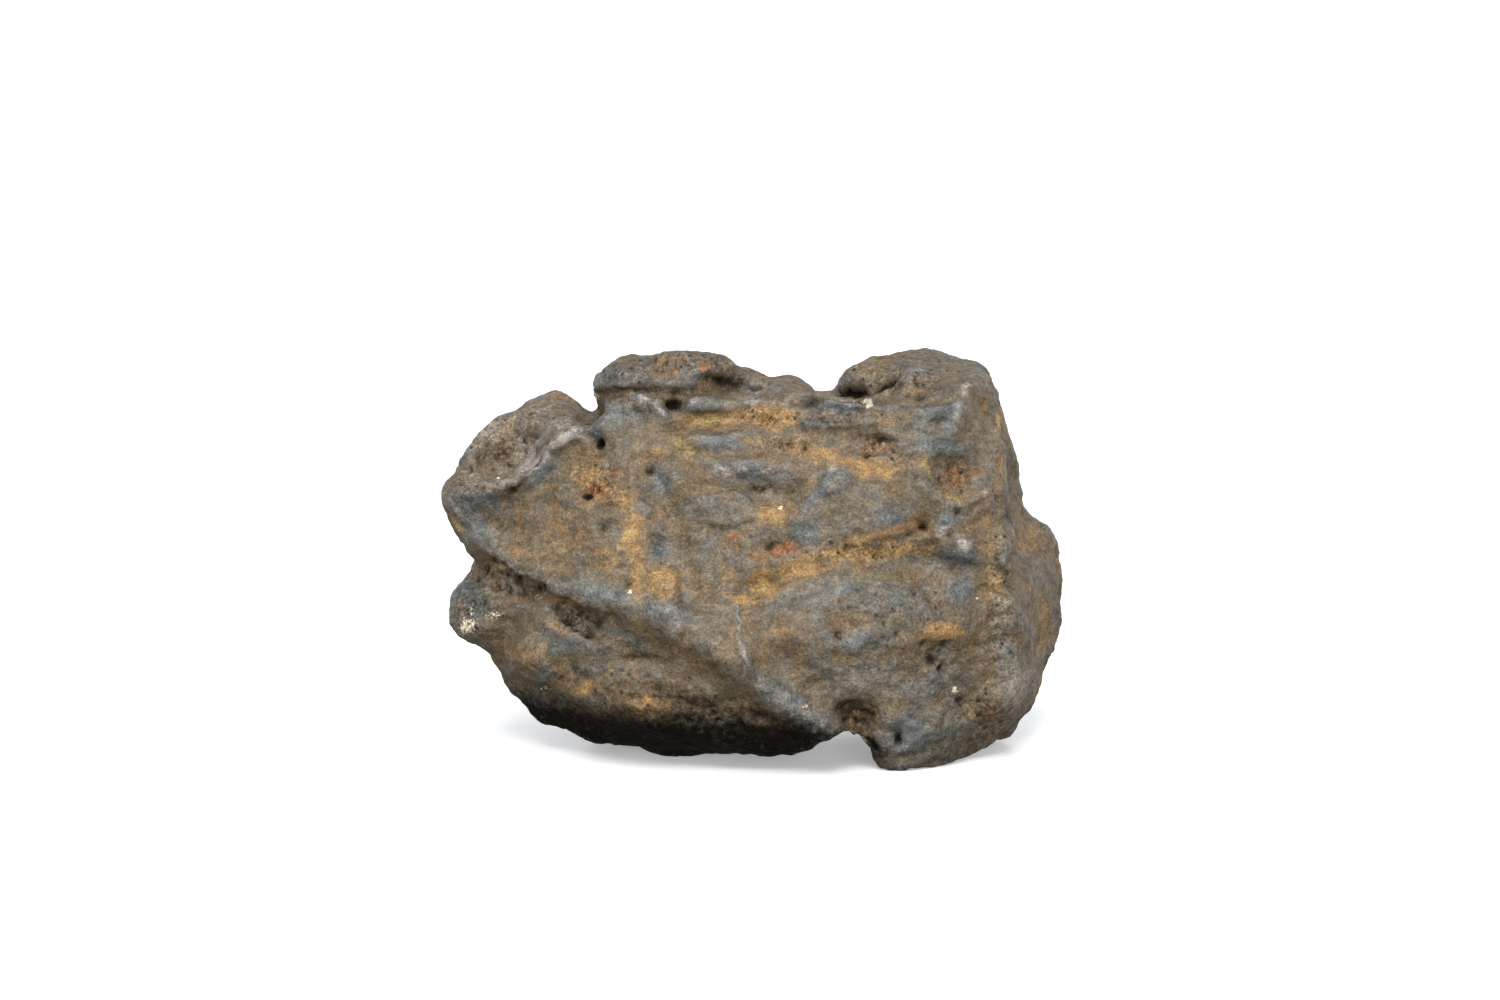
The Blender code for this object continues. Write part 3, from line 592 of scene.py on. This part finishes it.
# %% Lay the yellow and the red rust
FRONT["yellow"] = [
    (684, 446, 11, 8, 0, 0.8), (712, 419, 22, 5, -4, 0.8), (631, 533, 7, 6, 0, 0.9),
    (665, 590, 9, 6, 0, 0.6), (764, 590, 9, 8, -30, 0.6), (925, 465, 5, 14, -20, 0.6),
    (955, 499, 14, 4, 10, 0.6), (800, 440, 10, 4, 0, 0.3), (458, 525, 4, 12, -35, 0.6),
    (940, 634, 14, 6, 0, 0.4), (843, 555, 24, 4, 0, 0.4), (998, 420, 4, 10, 0, 0.5),
    (560, 555, 20, 12, 0, 0.3),
]
FRONT["rust"] = [
    (957, 476, 20, 16, 0, 0.48), (880, 446, 20, 8, 8, 0.5), (594, 490, 14, 9, 0, 0.7),
    (615, 470, 8, 8, 0, 0.5), (783, 548, 15, 7, 0, 0.95), (760, 557, 10, 5, 0, 0.7),
    (732, 537, 8, 7, 0, 0.8), (942, 632, 16, 7, 0, 0.45), (704, 368, 6, 4, 0, 0.9),
    (674, 372, 5, 4, 0, 0.8), (580, 600, 14, 5, 10, 0.4), (519, 652, 10, 10, 0, 0.4),
    (910, 527, 16, 8, 0, 0.4), (781, 632, 8, 4, 0, 0.5), (462, 606, 5, 4, 0, 0.5),
    (990, 715, 16, 14, 0, 0.4), (640, 533, 6, 18, 0, 0.4), (803, 377, 6, 4, 0, 0.5),
]
print(len(FRONT["yellow"]), "yellow spots and", len(FRONT["rust"]), "red ones")

# %% [markdown]
# ## Black oxide and painted shade, rubbed metal and painted highlights, pale grains
# A near-black layer is partly black oxide and partly painted shade: on the front, its spots darken the
# pits, the creases, the hollow under the lip, the ledge undersides and the belly, where shade falls. Bare
# metal shows as thin lines where crests were rubbed, and the same layer's spots and lines paint highlights
# on crests and knobs. A few pale grains of sand stick to the knob and the saddle, and one pale spot is a
# painted glint.

# %% Lay the black oxide and painted shade, the metal and painted highlights, and the pale grains
# near-black spots: black oxide, and painted shade in the pits, creases, under the lip, under the ledges and
# on the belly
FRONT["black_oxide_and_shade"] = [
    (478, 602, 22, 20, 0, 0.42), (868, 746, 16, 10, 35, 1.0), (690, 363, 62, 11, 0, 0.28),
    (622, 376, 30, 13, 0, 0.22), (620, 400, 26, 8, 0, 0.3), (835, 420, 34, 8, 0, 0.36),
    (765, 489, 36, 6, 4, 0.42), (720, 531, 18, 11, 0, 0.26), (795, 446, 22, 7, 8, 0.36),
    (684, 446, 12, 8, 0, 0.36), (690, 700, 60, 16, 18, 0.5), (604, 672, 40, 8, 8, 0.3),
    (640, 411, 24, 8, 0, 0.44), (525, 660, 20, 14, 0, 0.3), (866, 735, 10, 10, 0, 0.3),
    (640, 742, 110, 14, 0, 1.0), (745, 732, 60, 12, 0, 0.9), (850, 394, 18, 5, 5, 0.75),
    (886, 387, 12, 4, -25, 0.55), (720, 378, 24, 6, 8, 0.6), (940, 416, 15, 8, -35, 0.42),
    (674, 403, 5, 6, 0, 0.9), (678, 390, 18, 4, 0, 0.35), (640, 389, 36, 3, 0, 0.4),
    (934, 655, 12, 9, 0, 0.2), (899, 738, 5, 9, 0, 0.7), (560, 728, 40, 12, 20, 0.8),
    (600, 444, 4, 4, 0, 0.8), (586, 496, 4, 3, 0, 0.8), (923, 527, 4, 4, 0, 0.6),
    (515, 491, 8, 4, -45, 0.5), (664, 372, 12, 4, 0, 0.35), (700, 722, 60, 10, 5, 0.6),
    (490, 455, 20, 9, -40, 0.4), (542, 589, 4, 3, 0, 0.8), (640, 655, 24, 3, 0, 0.4),
]
# bare metal, and painted highlights where crests and knobs catch the light
FRONT["metal_sheen"] = [
    (964, 545, 9, 6, 0, 0.6), (941, 532, 8, 8, 0, 0.5), (662, 411, 4, 6, -30, 0.7),
    (643, 397, 8, 4, 20, 0.5), (693, 402, 6, 5, 0, 0.6), (753, 399, 8, 4, 0, 0.6),
    (763, 383, 7, 3, 40, 0.6), (787, 402, 4, 4, 0, 0.6), (958, 404, 4, 3, 0, 1.0),
    (965, 390, 3, 8, 20, 0.7), (525, 471, 9, 4, -20, 0.6), (918, 370, 10, 3, -10, 0.4),
    (488, 491, 5, 3, 20, 0.7), (933, 572, 14, 6, 0, 0.3), (545, 675, 9, 3, -25, 0.5),
    (833, 470, 5, 4, 0, 0.5),
]
# pale sand grains, and a painted glint at pixel (781, 508)
FRONT["pale_grain_and_glint"] = [
    (467, 626, 10, 9, 0, 0.62), (495, 615, 9, 4, 0, 0.55), (472, 612, 6, 5, 0, 0.45),
    (540, 597, 6, 4, 0, 0.4), (630, 592, 2.2, 2.2, 0, 1.0), (545, 690, 7, 4, 0, 0.4),
    (955, 690, 3, 3, 0, 1.1), (869, 404.5, 4, 2.8, 0, 2.4), (805, 706, 3, 3, 0, 0.7),
    (781, 508, 2.6, 2.2, 0, 0.9), (498, 478, 2, 2, 0, 0.9), (977, 597, 2, 2, 0, 0.7),
]
for name in ("black_oxide_and_shade", "metal_sheen", "pale_grain_and_glint"):
    print(name, "spots:", len(FRONT[name]))

# %% Paint the front
RUBBED_SHINE_LINES = [  # path, half width, weight of the bare metal and of the painted highlight along it
    (SHOULDER_RIDGE[:5], 7, 0.55), (SHOULDER_RIDGE[4:], 5, 0.2), (SECOND_FOLD, 5, 0.6),
    (HORN_CREST, 3, 0.15), (BLUE_LEDGE, 6, 0.42), (SADDLE_LIP, 2.5, 0.3), (LOWER_RIDGE[:8], 3, 0.3),
    (BOSS_EDGE, 2.5, 0.3), (V_RIDGE, 3, 0.1),
]
PIT_SHADE = 0.4  # each placed pit is darkened this much, as painted shade in the hole

painted = {name: np.zeros(count) for name in FRONT}
for name, spots in FRONT.items():
    for x, y, half_width, half_height, turn, weight in spots:
        painted[name] = np.maximum(painted[name], weight * spot(x, y, half_width, half_height, turn))
for path, half_width, weight in RUBBED_SHINE_LINES:
    painted["metal_sheen"] = np.maximum(painted["metal_sheen"], weight * stroke(path, half_width))
# painted shade in every placed pit
for x, y, radius, _ in PITS:
    painted["black_oxide_and_shade"] = np.maximum(painted["black_oxide_and_shade"], PIT_SHADE * spot(x, y, radius, radius))
print("painted on the front:", sum(len(spots) for spots in FRONT.values()), "spots")

# %% [markdown]
# ## The same layers on the other sides
# The photograph doesn't show the back, but it is the same crust. Noise scatters the layers there, in
# about the measure that they have on the front. Then the measured relief adds to them: film and bare
# metal on the ridges, ochre in the hollows, and painted shade in the hollows and on the underside, most
# of it at the left, where the belly hangs low.

# %% Scatter the layers elsewhere
SCATTER = {  # size of the patches in mm, where the noise starts and where it is full, weight
    "film": (4.5, -0.05, 0.5, 0.65),
    "ochre": (3.6, 0.05, 0.6, 0.75),
    "dust": (3.2, 0.3, 0.6, 0.4),
    "yellow": (2.6, 0.4, 0.8, 0.45),
    "rust": (2.8, 0.25, 0.7, 0.5),
    "black_oxide_and_shade": (5.0, 0.1, 0.6, 0.5),
    "metal_sheen": (3.0, 0.3, 0.7, 0.3),
    "pale_grain_and_glint": (1.6, 0.7, 0.95, 0.5),
}
FRONT_SCATTER = 0.22  # how much of the scattered layers shows on the front
LAYER_STEP = Vector((11.0, 5.0, 3.0))  # moves each layer's noise, so that the layers don't coincide

layers = {}
for order, (name, (size, start, full, weight)) in enumerate(SCATTER.items()):
    shift = LAYER_STEP * (order + 1)
    field = np.array([noise.fractal(Vector(point) / size + shift, 0.9, OCTAVE_STEP, 3) for point in here])
    patches = weight * np.clip((field - start) / (full - start), 0, 1)
    layers[name] = np.maximum(painted[name], patches * (1 - (1 - FRONT_SCATTER) * share))
print("scattered:", ", ".join(layers))

# %% Let the relief add to the layers
RIDGE_METAL = 0.25
RIDGE_METAL_FROM = 0.35
RIDGE_FILM = 0.35
HOLLOW_OCHRE = 0.15
HOLLOW_SHADE = 0.4
HOLLOW_SHADE_FROM = 0.3
UNDERSIDE_SHADE = 1.25
UNDERSIDE_TOP = 5.4  # mm above the ground where the painted shade starts
UNDERSIDE_FADE = 4.2  # mm below that where it is full
BELLY_REACH = 8.0  # mm over which the painted shade thins out to the right

# painted shade on the underside: the skin is darkened towards the ground where it faces down, most at the
# left under the belly
down = np.clip((0.4 - normals[:, 2]) / 0.7, 0, 1)
underside_shade = UNDERSIDE_SHADE * np.clip((UNDERSIDE_TOP - here[:, 2]) / UNDERSIDE_FADE, 0, 1) * down
underside_shade *= np.clip(1.4 - here[:, 0] / BELLY_REACH, 0.25, 1.0)
# painted shade in the hollows: the deeper the hollow, the darker
crevice_shade = HOLLOW_SHADE * np.clip(hollow - HOLLOW_SHADE_FROM, 0, 1)
rubbed = RIDGE_METAL * np.clip(ridge - RIDGE_METAL_FROM, 0, 1)
layers["metal_sheen"] = np.maximum(layers["metal_sheen"], rubbed)
layers["film"] = np.clip(layers["film"] + RIDGE_FILM * ridge, 0, 1)
layers["ochre"] = np.clip(layers["ochre"] + HOLLOW_OCHRE * hollow, 0, 1)
layers["grit"] = grit
layers["black_oxide_and_shade"] = np.clip(np.maximum(layers["black_oxide_and_shade"], underside_shade) + crevice_shade, 0, 1)
for name, weights in layers.items():
    stone.data.attributes.new(name, "FLOAT", "POINT").data.foreach_set("value", weights)
print("mean weights:", {name: round(float(weights.mean()), 3) for name, weights in layers.items()})

# %% [markdown]
# ## The crust's material
# The layers are mixed one over the other in a node material. A few helpers keep the node work short:
# each makes a node or two and gives back an output.

# %% Start the material
crust = bpy.data.materials.new("rusty_iron_crust")
crust.use_nodes = True
nodes = crust.node_tree.nodes
links = crust.node_tree.links
shader = nodes["Principled BSDF"]
coordinates = nodes.new("ShaderNodeTexCoord").outputs["Object"]


def feed(socket, value):
    """Links an output to a socket, or sets the socket's own value."""
    if isinstance(value, bpy.types.NodeSocket):
        links.new(value, socket)
    else:
        socket.default_value = value


def noise_field(size, detail=3.0, roughness=0.6, stretch=(1, 1, 1), shift=0.0):
    """Noise from 0 to 1 whose blotches are about size mm wide."""
    mapping = nodes.new("ShaderNodeMapping")
    feed(mapping.inputs["Vector"], coordinates)
    mapping.inputs["Location"].default_value = (shift, shift, shift)
    mapping.inputs["Scale"].default_value = [part / (size * MM) for part in stretch]
    field = nodes.new("ShaderNodeTexNoise")
    feed(field.inputs["Vector"], mapping.outputs["Vector"])
    field.inputs["Scale"].default_value = 1.0
    field.inputs["Detail"].default_value = detail
    field.inputs["Roughness"].default_value = roughness
    return field.outputs["Fac"]


def layer_weight(name):
    """Reads a layer's weight from the skin."""
    weight = nodes.new("ShaderNodeAttribute")
    weight.attribute_name = name
    return weight.outputs["Fac"]


print("material started:", crust.name)

# %% Make the mixing helpers
def math_node(operation, first, second=0.0):
    step = nodes.new("ShaderNodeMath")
    step.operation = operation
    feed(step.inputs[0], first)
    feed(step.inputs[1], second)
    return step.outputs["Value"]


def ramp(value, low, high, to_low=0.0, to_high=1.0):
    """Maps low to to_low and high to to_high with a smooth step between them."""
    step = nodes.new("ShaderNodeMapRange")
    step.interpolation_type = "SMOOTHSTEP"
    feed(step.inputs["Value"], value)
    step.inputs["From Min"].default_value = low
    step.inputs["From Max"].default_value = high
    step.inputs["To Min"].default_value = to_low
    step.inputs["To Max"].default_value = to_high
    return step.outputs["Result"]


def blend_colour(factor, first, second, way="MIX"):
    """A Mix node has sockets for each kind of data: those for colours are 6, 7 and 2."""
    mix = nodes.new("ShaderNodeMix")
    mix.data_type = "RGBA"
    mix.blend_type = way
    feed(mix.inputs["Factor"], factor)
    feed(mix.inputs[6], first)
    feed(mix.inputs[7], second)
    return mix.outputs[2]


def blend_value(factor, first, second):
    mix = nodes.new("ShaderNodeMix")
    feed(mix.inputs["Factor"], factor)
    feed(mix.inputs[2], first)
    feed(mix.inputs[3], second)
    return mix.outputs[0]


print("mixing helpers ready")

# %% [markdown]
# ## Mixing the layers
# Painted edges would look soft, so each weight is first broken up with fine noise and then sharpened:
# the edge of a rust patch becomes ragged, as it is on the real crust. Every layer brings its own colour,
# roughness and metallic share. Black oxide conducts, so the near-black layer has a high metallic share
# too: its gloss is then as dark as its colour, where a plain dielectric would shine grey. That also keeps
# its painted shade on the belly and in the pits dark in reflections.

# %% Mix the layers
BROWN_OXIDE = (0.14, 0.089, 0.04, 1)
GREY_OXIDE = (0.117, 0.095, 0.063, 1)
OXIDE_PATCH = 1.6  # mm
OXIDE_GLOSS_PATCH = 1.1  # mm
OXIDE_ROUGHNESS = (0.42, 0.62)
OXIDE_METAL = 0.15
COATS = {  # colour, roughness, metallic, size of the break-up in mm, its strength, softness of the edge
    "film": ((0.095, 0.102, 0.097, 1), 0.4, 0.25, 1.1, 1.1, 0.5),
    "ochre": ((0.28, 0.165, 0.06, 1), 0.68, 0.0, 0.5, 1.2, 0.4),
    "dust": ((0.24, 0.205, 0.165, 1), 0.6, 0.0, 0.4, 1.1, 0.4),
    "yellow": ((0.31, 0.225, 0.085, 1), 0.7, 0.0, 0.45, 1.2, 0.4),
    "rust": ((0.235, 0.1, 0.036, 1), 0.72, 0.0, 0.45, 1.2, 0.4),
    # near-black: black oxide, and painted shade
    "black_oxide_and_shade": ((0.014, 0.011, 0.0075, 1), 0.85, 0.9, 0.4, 0.8, 0.4),
    # bare metal, and the light colour of painted highlights
    "metal_sheen": ((0.4, 0.355, 0.33, 1), 0.38, 0.5, 0.4, 0.7, 0.4),
    # pale grains, and the light colour of one painted glint
    "pale_grain_and_glint": ((0.7, 0.62, 0.45, 1), 0.55, 0.0, 0.16, 1.6, 0.12),
}
COAT_SHIFT = 3.7  # moves each coat's break-up noise
HALF_COVERED = 0.45  # the weight at which a coat covers half of the ground

colour = blend_colour(ramp(noise_field(OXIDE_PATCH, 4.0), 0.35, 0.65), BROWN_OXIDE, GREY_OXIDE)
roughness = ramp(noise_field(OXIDE_GLOSS_PATCH), 0.3, 0.7, *OXIDE_ROUGHNESS)
metallic = OXIDE_METAL
for order, (name, (tint, rough, metal_sheen, size, strength, soft)) in enumerate(COATS.items()):
    weight = layer_weight(name)
    centred = math_node("SUBTRACT", noise_field(size, shift=COAT_SHIFT * order), 0.5)
    ragged = math_node("ADD", weight, math_node("MULTIPLY", centred, strength))
    cover = ramp(ragged, HALF_COVERED - soft, HALF_COVERED + soft)
    colour = blend_colour(cover, colour, tint)
    roughness = blend_value(cover, roughness, rough)
    metallic = blend_value(cover, metallic, metal_sheen)
print("layers mixed:", ", ".join(COATS))

# %% [markdown]
# ## Speckle
# Close up the crust is peppered with dark and light grains a tenth of a millimetre wide. They are too
# small to be mesh, so fine noise lightens and darkens the colour. A coarser pepper comes in where the
# skin is sandy.

# %% Pepper the colour
MOST_NOISE = (0.28, 0.72)  # noise seldom leaves this range
SPECKLE_SIZE = 0.15  # mm
SPECKLE = (0.58, 1.44)  # the darkest and the lightest grain, as factors on the colour
MOTTLE_SIZE = 0.55
MOTTLE = (0.62, 1.4)
COARSE_SIZE = 0.22
COARSE = (0.52, 1.5)

grit_here = layer_weight("grit")
speckle = noise_field(SPECKLE_SIZE, 2.0, 0.7)
mottle = noise_field(MOTTLE_SIZE, 4.0, 0.7, stretch=(0.7, 1, 1.2), shift=20.0)
colour = blend_colour(1.0, colour, ramp(speckle, *MOST_NOISE, *SPECKLE), "MULTIPLY")
colour = blend_colour(1.0, colour, ramp(mottle, *MOST_NOISE, *MOTTLE), "MULTIPLY")
coarse = ramp(noise_field(COARSE_SIZE, 2.0, 0.8, shift=31.0), 0.35, 0.65, *COARSE)
colour = blend_colour(grit_here, colour, blend_colour(1.0, colour, coarse, "MULTIPLY"))
print("speckle from", SPECKLE[0], "to", SPECKLE[1], "of the colour")

# %% [markdown]
# ## Pinholes
# Between the pores of the mesh are pinholes too small for it. A cell pattern gives them: each cell may
# hold one hole round its middle, of a width that the cell's own random colour picks. Noise bends the
# cells first, so that the holes aren't all round. Sandy skin has many of them and smooth skin has few.
# The holes are darkened in the colour, which is painted shade inside them.

# %% Prick the pinholes
PINHOLE_CELL = 0.55  # mm
PINHOLE_BEND = (0.5, 0.5, 0.5)
PINHOLE_WIDTH = 0.32  # of the widest, in cells
EMPTY_CELLS = 0.35  # share of the cells without a hole
PINHOLE_EDGE = 0.1
SMOOTH_SKIN_PINHOLES = 0.12  # how strongly they show where there is no grit
PINHOLE_SHADE = 0.85
PINHOLE_SHADE_COLOUR = (0.02, 0.015, 0.01, 1)

mapping = nodes.new("ShaderNodeMapping")
feed(mapping.inputs["Vector"], coordinates)
mapping.inputs["Scale"].default_value = [1 / (PINHOLE_CELL * MM)] * 3
wobble = nodes.new("ShaderNodeTexNoise")
feed(wobble.inputs["Vector"], mapping.outputs["Vector"])
wobble.inputs["Scale"].default_value = 2.5
bent = nodes.new("ShaderNodeVectorMath")
bent.operation = "MULTIPLY_ADD"
feed(bent.inputs[0], wobble.outputs["Color"])
bent.inputs[1].default_value = PINHOLE_BEND
feed(bent.inputs[2], mapping.outputs["Vector"])
cells = nodes.new("ShaderNodeTexVoronoi")
feed(cells.inputs["Vector"], bent.outputs["Vector"])
cells.inputs["Scale"].default_value = 1.0
pick = nodes.new("ShaderNodeSeparateColor")
feed(pick.inputs["Color"], cells.outputs["Color"])
width = ramp(pick.outputs["Red"], EMPTY_CELLS, 1.0, 0.0, PINHOLE_WIDTH)
pinhole = ramp(math_node("SUBTRACT", width, cells.outputs["Distance"]), 0.0, PINHOLE_EDGE)
pinhole = math_node("MULTIPLY", pinhole, ramp(grit_here, 0.05, 0.5, SMOOTH_SKIN_PINHOLES, 1.0))
# painted shade: each pinhole is darkened in the colour
colour = blend_colour(math_node("MULTIPLY", pinhole, PINHOLE_SHADE), colour, PINHOLE_SHADE_COLOUR)
print("pinholes in cells of", PINHOLE_CELL, "mm")

# %% [markdown]
# ## Bump and finish
# The grain and the pinholes also tilt the surface a little, which is what makes the crust glitter. They
# are a tenth of a millimetre high, so bump can carry them. The larger relief is in the mesh already.

# %% Add bump and finish the material
BUMP_HEIGHT = 0.1 * MM
BUMP_STRENGTH = 0.8
BUMP_GRAIN_SIZE = 0.28  # mm
BUMP_SPECKLE = 0.35
BUMP_PINHOLE = 1.2

grain = noise_field(BUMP_GRAIN_SIZE, 4.0, 0.65, shift=9.0)
grain = math_node("ADD", grain, math_node("MULTIPLY", speckle, BUMP_SPECKLE))
height = math_node("SUBTRACT", grain, math_node("MULTIPLY", pinhole, BUMP_PINHOLE))
bump = nodes.new("ShaderNodeBump")
bump.inputs["Strength"].default_value = BUMP_STRENGTH
bump.inputs["Distance"].default_value = BUMP_HEIGHT
feed(bump.inputs["Height"], height)
feed(shader.inputs["Base Color"], colour)
feed(shader.inputs["Roughness"], roughness)
feed(shader.inputs["Metallic"], metallic)
feed(shader.inputs["Normal"], bump.outputs["Normal"])
shader.inputs["Specular IOR Level"].default_value = 0.5
stone.data.materials.append(crust)
print("crust has", len(nodes), "nodes")

# %% [markdown]
# ## The stone joins the frame
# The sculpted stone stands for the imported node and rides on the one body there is.

# %% Hand the stone over
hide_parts("meteorite")
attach(stone, "root")
print("stone faces:", len(stone.data.polygons))

# %% [markdown]
# ## The floor
# The photograph has a white floor that melts into a white wall, with only thin shadows under the stone.
# A glow keeps the sheet white at any angle. A real white floor would also light the belly from below,
# which is nearly black in the photograph, so this one neither throws light onto the stone nor is
# mirrored in it.

# %% Lay the floor
FLOOR_HALF = 1.5
SHEET_GLOW = 0.3
SHEET_WHITE = (0.95, 0.95, 0.95, 1)
SHEET_ROUGHNESS = 0.28

corners = [(-FLOOR_HALF, -FLOOR_HALF, 0), (FLOOR_HALF, -FLOOR_HALF, 0)]
corners += [(FLOOR_HALF, FLOOR_HALF, 0), (-FLOOR_HALF, FLOOR_HALF, 0)]
floor_mesh = bpy.data.meshes.new("floor")
floor_mesh.from_pydata(corners, [], [(0, 1, 2, 3)])
floor = bpy.data.objects.new("floor", floor_mesh)
bpy.context.collection.objects.link(floor)
white = bpy.data.materials.new("white_sheet")
white.use_nodes = True
sheet = white.node_tree.nodes["Principled BSDF"]
sheet.inputs["Base Color"].default_value = SHEET_WHITE
sheet.inputs["Roughness"].default_value = SHEET_ROUGHNESS
sheet.inputs["Emission Color"].default_value = (1, 1, 1, 1)
sheet.inputs["Emission Strength"].default_value = SHEET_GLOW
floor_mesh.materials.append(white)
floor.visible_diffuse = False
floor.visible_glossy = False
print("floor is", 2 * FLOOR_HALF, "m wide")

# %% [markdown]
# ## The white room
# A studio tent lights a stone from all round. A world with a graded brightness does the same without
# any wall: brightest at eye level, cooler and weaker overhead, and dim below the horizon, so that the
# underside stays dark.

# %% Grade the room
ROOM_BANDS = [  # height, from 0 straight down to 1 straight up, and the colour of the light there
    (0.36, (0.26, 0.26, 0.25, 1)),
    (0.47, (1.15, 1.15, 1.15, 1)),
    (0.54, (1.15, 1.15, 1.15, 1)),
    (0.68, (0.6, 0.63, 0.68, 1)),
]

world = bpy.data.worlds.new("white_room")
world.use_nodes = True
room = world.node_tree
direction = room.nodes.new("ShaderNodeTexCoord")
split = room.nodes.new("ShaderNodeSeparateXYZ")
room.links.new(direction.outputs["Generated"], split.inputs["Vector"])
level = room.nodes.new("ShaderNodeMath")
level.operation = "MULTIPLY_ADD"
room.links.new(split.outputs["Z"], level.inputs[0])
level.inputs[1].default_value = 0.5
level.inputs[2].default_value = 0.5
shade = room.nodes.new("ShaderNodeValToRGB")
room.links.new(level.outputs["Value"], shade.inputs["Fac"])
room.links.new(shade.outputs["Color"], room.nodes["Background"].inputs["Color"])
bands = shade.color_ramp.elements
for index, (band_height, light) in enumerate(ROOM_BANDS):
    band = bands[index] if index < 2 else bands.new(band_height)  # a new ramp has two bands already
    band.position = band_height
    band.color = light
bpy.context.scene.world = world
print("room has", len(bands), "bands of light")

# %% [markdown]
# ## The lamps
# A wide, slightly warm sun from above and in front draws the crests and drops the soft shadow. One large
# lamp low at the front right opens the faces that the sun leaves dull.

# %% Light the stage
SUN_SPREAD = math.radians(35)
SUN_STRENGTH = 2.55
SUN_FROM = Vector((-0.12, -0.55, 1.0))
SUN_COLOUR = (1.0, 0.97, 0.93)
FILL_PLACE = (0.16, -0.55, 0.07)
FILL_SIZE = 0.35
FILL_WATTS = 1.6
LAMP_AIM = (0, 0, 12 * MM)


def add_lamp(name, place, size, watts):
    lamp = bpy.data.lights.new(name, "AREA")
    lamp.size = size
    lamp.energy = watts
    holder = bpy.data.objects.new(name, lamp)
    holder.location = place
    holder.rotation_euler = (Vector(place) - Vector(LAMP_AIM)).to_track_quat("Z", "Y").to_euler()
    bpy.context.collection.objects.link(holder)


sun_data = bpy.data.lights.new("soft_sun", "SUN")
sun_data.angle = SUN_SPREAD
sun_data.energy = SUN_STRENGTH
sun_data.color = SUN_COLOUR
sun = bpy.data.objects.new("soft_sun", sun_data)
sun.rotation_euler = SUN_FROM.to_track_quat("Z", "Y").to_euler()
bpy.context.collection.objects.link(sun)
add_lamp("front_fill", FILL_PLACE, FILL_SIZE, FILL_WATTS)
bpy.context.scene.view_settings.view_transform = "Standard"
print("stage lit by", len(bpy.data.lights), "lamps")
